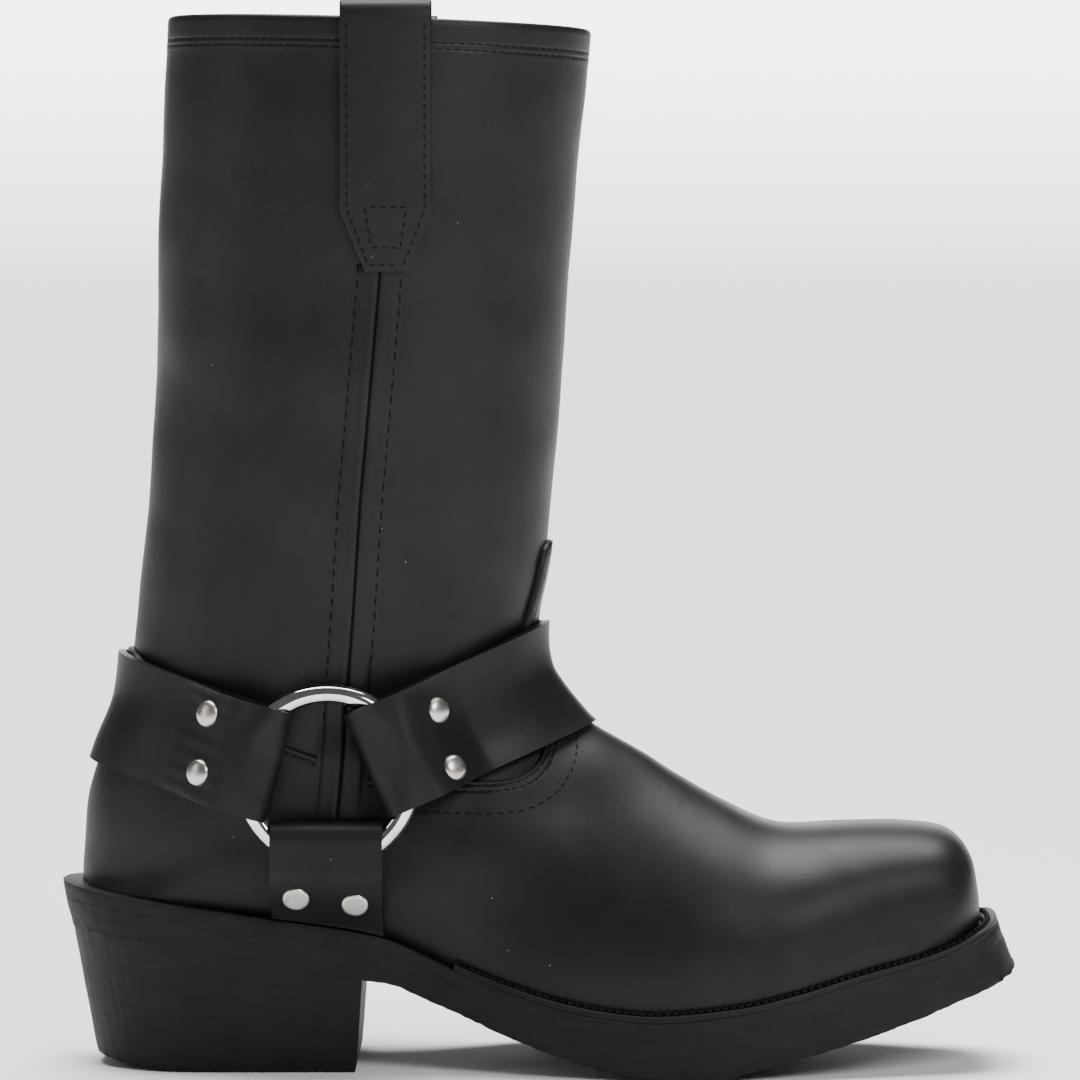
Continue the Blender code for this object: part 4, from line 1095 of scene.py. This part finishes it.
# Edges from top to bottom: depth in millimetres or share of the height, inset in millimetres
MIDSOLE_MM = MIDSOLE_THICKNESS / MM
MIDSOLE_EDGE = [(0, 0.5), (0.12, 0.18), (0.5, 0), (2.2, 0), (MIDSOLE_MM - 0.5, 0),
                (MIDSOLE_MM - 0.1, 0.02), (MIDSOLE_MM + GAP / MM, 0.04)]
OUTSOLE_EDGE = [(0, 0.08), (0.02, 0.02), (0.06, 0), (0.25, 0), (0.45, 0), (0.65, 0),
                (0.82, 0), (0.93, 0), (0.98, 0.15), (1.0, 0.6)]
HEEL_EDGE = [(0, 0.06), (0.01, 0.01), (0.03, 0), (0.12, 0), (0.24, 0), (0.36, 0), (0.48, 0),
             (0.60, 0), (0.72, 0), (0.84, 0), (0.94, 0), (0.985, 0.15), (1.0, 0.6)]


# Rough lower rows, how rough they are, and the seed
TRIMMING = {
    "midsole": (0, 0.20 * MM, 11),
    "outsole": (3, 0.30 * MM, 12),
    "heel": (2, 0.20 * MM, 13),
}
OUTSOLE_JAG = 0.16 * MM
HEEL_JAG = 0.14 * MM


def dense_stations(back, toe, count=SOLE_STATIONS):
    """Places along the sole, closest together at its rounded ends."""
    even = np.linspace(0, 1, count)
    ends = (1 - np.cos(pi * even)) / 2
    return back + (toe - back) * (0.45 * even + 0.55 * ends)


def closed_loop(x, outer, inner):
    """Loop round the sole: outer side to the toe, inner side back."""
    return np.concatenate([np.stack([x, -outer], 1), np.stack([x, inner], 1)[::-1]])


def with_height(loop, heights):
    return np.column_stack([loop, np.concatenate([heights, heights[::-1]])])


def stacked(loops):
    """Closed solid through loops of equal length, each pair of ends capped station by station."""
    loops = np.asarray(loops, float)
    levels, count = loops.shape[:2]
    faces = belt(levels, count)
    last = (levels - 1) * count
    for j in range(count // 2 - 1):
        quad = [j, count - 1 - j, count - 2 - j, j + 1]
        faces += [quad, [v + last for v in quad[::-1]]]
    return loops.reshape(-1, 3), faces


def ragged(loops, bottom_rows, amount, seed):
    """Roughly trimmed rubber: small uneven steps, strongest at the lowest rows."""
    loops = np.asarray(loops, float)
    chance = np.random.default_rng(seed)
    for i, loop in enumerate(loops):
        share = 1.0 if i >= len(loops) - bottom_rows else CALM_ROWS
        rough = chance.normal(0, 1, len(loop))
        rough = (np.roll(rough, 1) + rough + np.roll(rough, -1)) / 2
        out = loop - loop.mean(axis=0)
        out[:, 2] = 0
        out /= np.linalg.norm(out, axis=1)[:, None] + 1e-9
        loop += out * (rough * amount * share)[:, None]
    return loops


def leaned(x, depth, inset=0.0):
    """The sole's edge at some depth: its stations and its loop."""
    back = SOLE_BACK_OVERHANG - depth * BACK_LEAN - inset
    toe = SOLE_TOE_OVERHANG + depth * TOE_LEAN - inset
    share = (x - SOLE_BACK) / (SOLE_TOE - SOLE_BACK)
    moved = FEATHER_BACK - back + share * (FEATHER_TOE + toe - FEATHER_BACK + back)
    outer, inner = (half_width(moved, side, SOLE_OVERHANG - inset, back, toe) for side in (-1, 1))
    return moved, closed_loop(moved, outer, inner)


def add_rubber(node, loops):
    verts, faces = stacked(ragged(loops, *TRIMMING[node]))
    add_piece(node + "_rubber", verts, faces, SOLE_RUBBER, "sole", [node])


def make_midsole():
    x = dense_stations(SOLE_BACK, SOLE_TOE)
    loops = [with_height(leaned(x, depth * MM, inset * MM)[1], sole_top(x) - depth * MM)
             for depth, inset in MIDSOLE_EDGE]
    add_rubber("midsole", loops)


def make_outsole():
    x = dense_stations(SOLE_BACK, SOLE_TOE)
    top = MIDSOLE_THICKNESS + GAP
    high = sole_top(x) - top
    bottom = sole_bottom(leaned(x, BALL_THICKNESS)[0])
    loops = []
    for share, inset in OUTSOLE_EDGE:
        loop = leaned(x, top + (BALL_THICKNESS - top) * share, inset * MM)[1]
        loops.append(with_height(loop, high + (bottom - high) * share))
    jag = np.abs(CHANCE.normal(0, OUTSOLE_JAG, len(loops[0])))
    for loop in loops[-3:]:
        loop[:, 2] = np.maximum(loop[:, 2] + jag, 0)
    add_rubber("outsole", loops)


def make_heel():
    under = leaned(dense_stations(SOLE_BACK, SOLE_TOE, HEEL_STATIONS), BALL_THICKNESS)[0]
    breast = SOLE_BACK + HEEL_BLOCK_LENGTH
    back = under[0]
    x = np.append(under[under < breast - 0.5 * MM], breast)
    outer, inner = (half_width(x, side, SOLE_OVERHANG, FEATHER_BACK - back, SOLE_TOE_OVERHANG)
                    for side in (-1, 1))
    seat = sole_bottom(x) + HEEL_SEAT_OVERLAP
    low_back = SOLE_BACK + HEEL_BACK_UNDERCUT
    low_breast = breast - HEEL_BREAST_UNDERCUT
    low_x = low_back + (x - back) * (low_breast - low_back) / (breast - back)
    bevel = HEEL_REAR_BEVEL * np.clip(1 - (low_x - low_back) / HEEL_BEVEL_LENGTH, 0, 1)
    loops = []
    for share, inset in HEEL_EDGE:
        inset *= MM
        narrow = 1 - HEEL_SIDE_UNDERCUT / outer.max() * share
        at = x + (low_x - x) * share
        middle = (at[0] + at[-1]) / 2
        at = middle + (at - middle) * (1 - 2 * inset / (at[-1] - at[0]))
        loop = closed_loop(at, np.maximum(outer * narrow - inset, 0),
                           np.maximum(inner * narrow - inset, 0))
        loops.append(with_height(loop, seat + (bevel - seat) * share))
    jag = np.abs(CHANCE.normal(0, HEEL_JAG, len(loops[0])))
    for loop in loops[-2:]:
        loop[:, 2] += jag
    add_rubber("heel", loops)


def welt_line(share, lift):
    """A line on the welt from its outer end round the toe to its inner end."""
    inside = OVERLAY + GAP + WELT_CLEARANCE
    grow = inside + (SOLE_OVERHANG - WELT_INSET - inside) * share
    toe = inside + (SOLE_TOE_OVERHANG - WELT_INSET - inside) * share
    x = dense_stations(world_x(WELT_START) + 0.010, SOLE_TOE, WELT_STATIONS)
    near_toe = np.clip((x - SOLE_TOE + WELT_TURN) / WELT_TURN, 0, 1)
    places = x - near_toe * (SOLE_TOE - FEATHER_TOE - toe)
    outer, inner = (side * half_width(places, side, grow, 0.0, toe) for side in (-1, 1))
    y = np.concatenate([outer, inner[-2::-1]])
    places = np.concatenate([places, places[-2::-1]])
    return np.stack([places, y, sole_top(places) + lift], axis=1)


def make_welt():
    top = []
    under = []
    for share in WELT_SHARES:
        arch = sqrt(1 - (2 * share - 1) ** 2)
        crown = WELT_HEIGHT * (WELT_EDGE_HEIGHT + (1 - WELT_EDGE_HEIGHT) * arch)
        top.append(welt_line(share, GAP + crown))
        under.append(welt_line(share, 0.5 * GAP))
    add_piece("welt_strip", *between(top, under), WELT, "welt", ["welt"])
    row = welt_line(WELT_STITCH_SHARE, GAP + WELT_HEIGHT)
    upwards = np.broadcast_to((0.0, 0.0, 1.0), row.shape)
    sew("welt_stitches", "welt", [np.concatenate([row, upwards], axis=1)], 2.6, 2.45, 0.75, 0.45)


# Harness

def skin(offset):
    points, normals, faces = upper_grid(*SKIN_GRID)
    return tree_of(points + normals * offset, faces)


HARNESS_SEAT = OVERLAY + GAP + STRAP_CLEARANCE
UNDER_HARNESS = skin(HARNESS_SEAT)
ROD = RING_ROD / 2
HOLE = ROD + RING_CLEARANCE
NOSE = HOLE + STRAP_THICKNESS
RING_RADIUS = (RING_DIAMETER - RING_ROD) / 2
(RING_X, RING_Z), = seen_from_side([RING_PLACE])
LOOP_RISE = 6.0 * MM
NOSE_TURNS = np.linspace(0, pi / 2, 9)
FLAT_ROWS = 30
STRAP_COLUMNS = 27
STIRRUP_COLUMNS = 15
STIRRUP_LOW_ROWS = 6
STRAP_STEP = 1.1 * MM
STRAP_PASSES = 40
STRAP_EDGE = 0.55 * MM
THIN_EDGE = 0.5 * MM
RIDGE_HEIGHT = 0.9 * MM
RIDGE_WIDTH = 3.8 * MM
FOLD_DROP = 2.2 * MM
FOLD_RUN = 11.0 * MM
RING_STEPS = 120
ROD_STEPS = 28


def by_ring(offset):
    forward, up = offset
    return RING_X + forward * RING_DIAMETER, RING_Z + up * RING_DIAMETER


def on_strap(line, offset):
    """A place on a strap: from its line's end at the ring, along it and up across it."""
    far, near = line
    (x0, z0), (x1, z1) = by_ring(near), seen_from_side([far])[0]
    ahead, across = (share * STRAP_WIDTH / hypot(x1 - x0, z1 - z0) for share in offset)
    turn = 1 if x1 > x0 else -1
    return (x0 + ahead * (x1 - x0) - turn * across * (z1 - z0),
            z0 + ahead * (z1 - z0) + turn * across * (x1 - x0))


def cast(tree, x, z, side):
    """Where a ray from this side meets the tree, and the outward normal there."""
    start = Vector((x, side * 2 * REACH, z))
    hit, normal, _, _ = tree.ray_cast(start, Vector((0, -side, 0)))
    return hit, -normal if normal.y * side < 0 else normal


def side_y(tree, x, z, side):
    return abs(cast(tree, x, z, side)[0].y)


def ring_place(name):
    low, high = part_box("ring_" + name)
    return abs(low[1] + high[1]) / 2


RING_Y = {side: ring_place(name) for name, side in SIDES.items()}


def lifted(distance):
    """Share by which a strap has left the upper to go round its ring."""
    start = LOOP_LENGTH + LOOP_RISE
    return float(ease((start - distance) / (start - LOOP_FLAT)))


def strap_curve(line, offset, axis, turns, fold, keep):
    """The strap's line at one place across its width: points on the upper, lengths, centre."""
    far, near = line
    (x0, z0), (x1, z1) = seen_from_side([far])[0], by_ring(near)
    slope = (z1 - z0) / (x1 - x0)
    rise = offset * hypot(1, slope)
    centre = Vector((axis, 0, z0 + slope * (axis - x0) + rise))
    (fx0, fz0), (fx1, fz1) = (by_ring(end) for end in fold)
    points = []
    for turn in turns:
        way = Vector((cos(turn), sin(turn), slope * cos(turn)))
        hit = UNDER_HARNESS.ray_cast(centre + way * 3 * REACH, -way)[0]
        if hit is not None:
            limit = fx0 + (hit.z - fz0) * (fx1 - fx0) / (fz1 - fz0)
            if (limit - hit.x) * keep > 0:
                points.append(np.array(hit))
    points = evened(np.array(points), STRAP_PASSES)
    return points, lengths_along(points), np.array(centre)


def loop_rows(length=LOOP_LENGTH):
    """Rows from the inner end of a folded strap to its fold: outside and inside distances."""
    rows = [(d, d) for d in np.linspace(length, NOSE + 1.2 * MM, FLAT_ROWS)]
    rows += [(NOSE - NOSE * cos(t), NOSE - HOLE * cos(t)) for t in NOSE_TURNS[::-1]]
    return rows


def nose_offset(distance, radius):
    inside = np.clip((NOSE - distance) / radius, 0, 1)
    return radius * sqrt(1 - inside * inside)


def over_rod(x, z):
    """Lift of a strap's outer layer: a ridge over the ring's rod, and a slope down to the fold."""
    reach = hypot(x - RING_X, z - RING_Z)
    slope = ease((RING_RADIUS - 1.0 * MM - reach) / FOLD_RUN)
    return RIDGE_HEIGHT * bell(reach - RING_RADIUS, RIDGE_WIDTH) - FOLD_DROP * slope


def folded_point(point, out, distance, side, layer, inner, draped):
    """A point of a folded strap: layer -1 lies on the upper, 1 is outside; inner faces the ring."""
    share = lifted(distance)
    if inner:
        depth = STRAP_THICKNESS / 2 if distance < LOOP_LENGTH + 1e-6 else 0.0
    else:
        depth = STRAP_THICKNESS if layer > 0 else 0.0
    goal = RING_Y[side] + layer * nose_offset(distance, HOLE if inner else NOSE)
    spot = point + out * depth
    spot[1] = side * (abs(spot[1]) * (1 - share) + goal * share)
    if layer > 0 and draped:
        settled = share * nose_offset(distance, NOSE) / NOSE
        spot[1] += side * settled * over_rod(spot[0], spot[2])
    return spot


def folded_rows(path, spot_at, whole, draped):
    """The outside and inside rows of a folded strap at one place across its width."""
    outside = []
    inside = []
    for far, near, layer in path:
        for distance, row, inner in ((far, outside, False), (near, inside, True)):
            spot, out = spot_at(distance)
            side = -1 if spot[1] < 0 else 1
            from_fold = min(distance, whole - distance)
            row.append(folded_point(spot, out, from_fold, side, layer, inner, draped))
    return outside, inside


def strap_path(whole):
    """Rows of a strap from inner end to inner end: outside and inside places, layer."""
    first = loop_rows()
    rows = [(a, b, -1) for a, b in first]
    rows += [(a, b, 1) for a, b in first[-2::-1]]
    middle = np.arange(LOOP_LENGTH + 1.5 * MM, whole - LOOP_LENGTH - MM, STRAP_STEP)
    rows += [(a, a, 1) for a in middle]
    rows += [(whole - a, whole - b, 1) for a, b in first]
    rows += [(whole - a, whole - b, -1) for a, b in first[-2::-1]]
    return rows


def spot_on(curve, place):
    """The point at this length along a strap's curve, and the level way out from its centre."""
    points, lengths, centre = curve
    spot, ahead, behind = (interpolated(place + step * MM, lengths, points) for step in (0, 4, -4))
    along = ahead - behind
    out = np.array([along[1], -along[0], 0.0])
    out /= np.linalg.norm(out)
    return spot, -out if out @ (spot - centre) < 0 else out


def finish_strap(piece, node, outside, inside, edge):
    """The strap as a piece with softened edges, and the tree that finds places on it."""
    verts, faces = between(outside, inside)
    strap = add_piece(piece, verts, faces, STRAP_LEATHER, "strap", [node])
    step = strap.modifiers.new("edges", "BEVEL")
    step.width = edge
    step.segments = 2
    step.limit_method = "ANGLE"
    step.angle_limit = radians(40)
    step.harden_normals = False
    return tree_of(verts, faces)


def make_strap(name, line, fold, axis, turns, keep):
    across = np.linspace(-0.5, 0.5, STRAP_COLUMNS) * STRAP_WIDTH
    curves = [strap_curve(line, offset, axis, turns, fold, keep) for offset in across]
    whole = float(np.mean([lengths[-1] for _, lengths, _ in curves]))
    path = strap_path(whole)
    rows = []
    for curve in curves:
        scale = curve[1][-1] / whole
        rows.append(folded_rows(path, lambda at: spot_on(curve, at * scale), whole, True))
    return finish_strap(name + "_leather", name, *zip(*rows), STRAP_EDGE)


def make_stirrup(name, side):
    middle, top = by_ring(STIRRUP_FOLD)
    rows = []
    for x in np.linspace(-0.5, 0.5, STIRRUP_COLUMNS) * STRAP_WIDTH + middle:
        floor = float(sole_top(x))
        length = top - (floor + 2 * GAP)
        folded = min(LOOP_LENGTH, length - 2 * MM)
        first = loop_rows(folded)
        path = [(a, b, -1) for a, b in first] + [(a, b, 1) for a, b in first[-2::-1]]
        path += [(a, a, 1) for a in np.linspace(folded + MM, length, STIRRUP_LOW_ROWS)]

        def spot_at(distance):
            z = top - distance
            seat = side_y(UNDER_HARNESS, x, max(z, floor + 3 * GAP), side)
            return np.array([x, side * seat, z]), np.array([0.0, side, 0.0])

        rows.append(folded_rows(path, spot_at, np.inf, False))
    return finish_strap(name + "_leather", name, *zip(*rows), THIN_EDGE)


def make_ring(name, side):
    verts = []
    for turn in 2 * pi * np.arange(RING_STEPS) / RING_STEPS:
        for roll in 2 * pi * np.arange(ROD_STEPS) / ROD_STEPS:
            reach = RING_RADIUS + ROD * cos(roll)
            verts.append((RING_X + reach * cos(turn), side * RING_Y[side] + ROD * sin(roll),
                          RING_Z + reach * sin(turn)))
    faces = [[v % len(verts) for v in face] for face in belt(RING_STEPS + 1, ROD_STEPS)]
    add_piece("ring_metal_" + name, verts, faces, CHROME, "ring", ["ring_" + name])


# Rivets

RIVET_RADIUS = RIVET_DIAMETER / 2
RIVET_SEGMENTS = 48
RIVET_SKIRT = 1.4 * MM
RIVET_LIFT = 0.25 * MM
RIVET_UPRIGHT = 0.45
DOME_FOOT = 0.30 * MM
FLAT_FOOT = 0.35 * MM
FLAT_ROLL = 1.3 * MM


def rivet_profile(rows, crown):
    """Rows of radius and height from the hidden skirt up: shares of the radius, millimetres."""
    skirt = [(RIVET_RADIUS * 0.96, -RIVET_SKIRT), (RIVET_RADIUS, -0.1 * MM)]
    return skirt + [(RIVET_RADIUS * share, height * MM) for share, height in rows] + crown


DOME = rivet_profile([(1.0, 0.15), (0.97, 0.32)], [
    (RIVET_RADIUS * (0.95 * cos(turn) + 0.02), DOME_FOOT + (DOME_HEIGHT - DOME_FOOT) * sin(turn))
    for turn in np.linspace(0.12, 1.0, 12) * pi / 2])
FLAT = rivet_profile([(1.0, 0.35)], [
    (RIVET_RADIUS - FLAT_ROLL * (1 - cos(turn)),
     FLAT_FOOT + (FLAT_RIVET_HEIGHT - FLAT_FOOT) * sin(turn))
    for turn in np.linspace(0.1, 1.0, 8) * pi / 2])
FLAT += [(RIVET_RADIUS * 0.45, FLAT_RIVET_HEIGHT * 1.04),
         (RIVET_RADIUS * 0.1, FLAT_RIVET_HEIGHT * 1.05)]


def make_rivet(name, tree, place, side, profile):
    hit, normal = cast(tree, *place, side)
    normal = (normal + Vector((0, RIVET_UPRIGHT * side, 0))).normalized()
    turned = Vector((0, 0, 1)).rotation_difference(normal).to_matrix()
    seat = hit + normal * RIVET_LIFT
    verts = []
    for radius, height in profile:
        for angle in 2 * pi * np.arange(RIVET_SEGMENTS) / RIVET_SEGMENTS:
            verts.append(turned @ Vector((radius * cos(angle), radius * sin(angle), height)) + seat)
    faces = capped(len(profile), RIVET_SEGMENTS)
    add_piece(name + "_metal", verts, faces, NICKEL, "rivet", [name], 50)


# Pull straps

UNDER_PULL = skin(PULL_CLEARANCE)
PULL_COLUMNS = 17
TAPER_ROWS = 12
OUTER_ROWS = 26
RIM_ROWS = 13
INNER_ROWS = 20
ROUTE_STEPS = 24
BORDER_INSET = 2.2 * MM
BOX_TOP = (6.5 * MM, 20.3 * MM)
BOX_BOTTOM = (4.6 * MM, 7.6 * MM)


def pull_stitches(tree, middle, rim, tip, side):
    """Lines of the border and of the box near the tip."""
    half = PULL_WIDTH / 2 - BORDER_INSET
    low_half = PULL_TIP_WIDTH / 2 - BORDER_INSET * 0.45
    border = [(half, rim - 2 * MM), (half, tip + PULL_TAPER), (low_half, tip + BORDER_INSET)]
    box = [(BOX_TOP[0], tip + BOX_TOP[1]), (BOX_BOTTOM[0], tip + BOX_BOTTOM[1])]
    border, box = ([(-x, z) for x, z in route] + route[::-1] for route in (border, box))
    box.append(box[0])
    lines = []
    for route in (border, box):
        for (x0, z0), (x1, z1) in zip(route[:-1], route[1:]):
            rows = []
            for share in np.linspace(0, 1, ROUTE_STEPS):
                x = middle + x0 + (x1 - x0) * share
                hit, normal = cast(tree, x, z0 + (z1 - z0) * share, side)
                rows.append((*hit, *normal))
            lines.append(np.array(rows))
    return lines


def make_pull_strap(name, side):
    middle = world_x(PULL_X)
    rim = float(collar_height(middle))
    tip = rim - PULL_LENGTH
    taper_top = tip + PULL_TAPER
    heights = np.concatenate([np.linspace(tip, taper_top, TAPER_ROWS),
                              np.linspace(taper_top + 2 * MM, rim - 4 * MM, OUTER_ROWS)])
    inside = PULL_CLEARANCE + WALL / 2
    near_grid = []
    far_grid = []
    for share in np.linspace(-1, 1, PULL_COLUMNS):
        near_row = []
        far_row = []
        for z in heights:
            taper = float(np.clip((z - tip) / PULL_TAPER, 0, 1))
            x = middle + share * (PULL_TIP_WIDTH + (PULL_WIDTH - PULL_TIP_WIDTH) * taper) / 2
            seat = side_y(UNDER_PULL, x, min(z, float(collar_height(x)) - GAP), side)
            near_row.append((x, side * seat, z))
            far_row.append((x, side * (seat + PULL_THICKNESS), z))
        x = middle + share * PULL_WIDTH / 2
        centre = side_y(UNDER_PULL, x, float(collar_height(x)) - GAP, side) - inside
        for turn in np.linspace(0, pi, RIM_ROWS):
            for row, out in ((near_row, 0.0), (far_row, PULL_THICKNESS)):
                row.append((x, side * (centre + (inside + out) * cos(turn)),
                            rim + (PULL_RISE + out) * sin(turn)))
        for z in rim - np.linspace(4 * MM, PULL_INSIDE, INNER_ROWS):
            seat = side_y(UNDER_PULL, x, z, side) - WALL - 2 * PULL_CLEARANCE
            near_row.append((x, side * seat, z))
            far_row.append((x, side * (seat - PULL_THICKNESS), z))
        near_grid.append(near_row)
        far_grid.append(far_row)
    tree = finish_strap("pull_strap_leather_" + name, "pull_strap_" + name, near_grid, far_grid,
                        THIN_EDGE)
    return pull_stitches(tree, middle, rim, tip, side)


# Putting it together

collar_rows = make_upper()
vamp_close, vamp_far = make_vamp()
counter_rows = make_counter()
seam_rows = [line for name, side in SIDES.items() for line in make_side_seam(name, side)]
make_midsole()
make_outsole()
make_heel()
make_welt()
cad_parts["insole"].data.materials.clear()
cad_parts["insole"].data.materials.append(INSOLE)

sew("collar_stitches", "leather", collar_rows, 3.0, 2.3, 0.30, -0.08)
sew("vamp_stitches", "leather", vamp_close, 2.7, 2.1, 0.33, -0.05)
sew("vamp_far_stitches", "leather", vamp_far, 3.4, 2.5, 0.33, -0.08)
sew("counter_stitches", "leather", counter_rows, 3.0, 2.3, 0.33, -0.05)
sew("seam_stitches", "leather", seam_rows, 4.6, 3.2, 0.32, -0.10)

TURN_STEPS = 420
HEEL_TURNS = np.linspace(-radians(50), -radians(310), TURN_STEPS)
INSTEP_TURNS = np.linspace(-radians(150), radians(150), TURN_STEPS)
heel_strap = make_strap("heel_strap", HEEL_STRAP_LINE, HEEL_FOLD, world_x(HEEL_STRAP_AXIS),
                        HEEL_TURNS, 1)
instep_strap = make_strap("instep_strap", INSTEP_STRAP_LINE, INSTEP_FOLD,
                          world_x(INSTEP_STRAP_AXIS), INSTEP_TURNS, -1)
heel_places = [on_strap(HEEL_STRAP_LINE, offset) for offset in HEEL_RIVETS]
instep_places = [on_strap(INSTEP_STRAP_LINE, offset) for offset in INSTEP_RIVETS]
stirrup_places = [by_ring(offset) for offset in STIRRUP_RIVETS]
pull_rows = []
for name, side in SIDES.items():
    make_ring(name, side)
    pull_rows += make_pull_strap(name, side)
    stirrup = make_stirrup("stirrup_strap_" + name, side)
    for kind, tree, places, profile in (("heel", heel_strap, heel_places, DOME),
                                        ("instep", instep_strap, instep_places, DOME),
                                        ("stirrup", stirrup, stirrup_places, FLAT)):
        for number, place in enumerate(places, 1):
            make_rivet(f"rivet_{kind}_{name}_{number}", tree, place, side, profile)
sew("pull_strap_stitches", "strap", pull_rows, 3.1, 2.3, 0.32, -0.06)


# Floor, lights and camera

FLOOR_REACH = 30.0
FLOOR_COLOUR = (0.90, 0.90, 0.90, 1.0)
ROOM_LIGHT = 0.12
WALL_LOW = 2.3
WALL_HIGH = 5.5
WALL_TOP = 0.05
WALL_SIDE = 0.90
WALL_MIDDLE = 0.99
CENTRE = Vector((0.09, 0.0, 0.16))
SOFTBOXES = [
    # name, place, width and height, watts
    ("left_softbox", (-1.65, -0.62, 0.7), (0.5, 1.4), 4.5),
    ("right_softbox", (0.90, -1.25, 1.05), (0.6, 0.7), 20),
]
CEILING_FROM = (0.0, 0.24, 1.0)
CEILING_STRENGTH = 7.4
CEILING_SPREAD = radians(48)
CAMERA_PLACE = (0.0952, -1.79, 0.25)
CAMERA_PITCH = radians(2.59)
CAMERA_LENS = 184.2
CAMERA_SENSOR = 36


def make_floor():
    mesh = bpy.data.meshes.new("floor")
    corners = [(-1, -1), (1, -1), (1, 1), (-1, 1)]
    mesh.from_pydata([(x * FLOOR_REACH, y * FLOOR_REACH, 0) for x, y in corners], [],
                     [(0, 1, 2, 3)])
    floor = new_object("floor", mesh)
    made, _, shader = new_material("floor")
    feed(shader, Base_Color=FLOOR_COLOUR, Roughness=0.9, Specular_IOR_Level=0.1)
    floor.data.materials.append(made)


def add_light(name, kind, place, target, **settings):
    light = bpy.data.lights.new(name, kind)
    for setting, value in settings.items():
        setattr(light, setting, value)
    made = new_object(name, light, place)
    made.rotation_euler = (target - made.location).to_track_quat("-Z", "Y").to_euler()


def make_world():
    """A dim room whose light comes from one bright wall far behind the boot."""
    world = bpy.data.worlds.new("studio")
    world.use_nodes = True
    tree = world.node_tree
    way = new_node(tree, "SeparateXYZ", Vector=new_node(tree, "TexCoord").outputs["Generated"])
    wall = mapped(way.outputs["Z"], 0.0, WALL_TOP, WALL_LOW, WALL_HIGH)
    behind = mapped(way.outputs["Y"], WALL_SIDE, WALL_MIDDLE, 0.0, 1.0)
    light = new_node(tree, "Mix", Factor=behind, A=ROOM_LIGHT, B=wall).outputs["Result"]
    feed(tree.nodes["Background"], Color=(1.0, 1.0, 1.0, 1.0), Strength=light)
    bpy.context.scene.world = world


def make_camera():
    lens = bpy.data.cameras.new("camera")
    lens.lens = CAMERA_LENS
    lens.sensor_width = CAMERA_SENSOR
    camera = new_object("camera", lens, CAMERA_PLACE)
    camera.rotation_euler = (pi / 2 - CAMERA_PITCH, 0, 0)
    bpy.context.scene.camera = camera


make_floor()
make_world()
for name, place, (wide, high), watts in SOFTBOXES:
    add_light(name, "AREA", place, CENTRE, shape="RECTANGLE", size=wide, size_y=high, energy=watts)
add_light("ceiling", "SUN", CEILING_FROM, Vector((0, 0, 0)), energy=CEILING_STRENGTH,
          angle=CEILING_SPREAD)
make_camera()
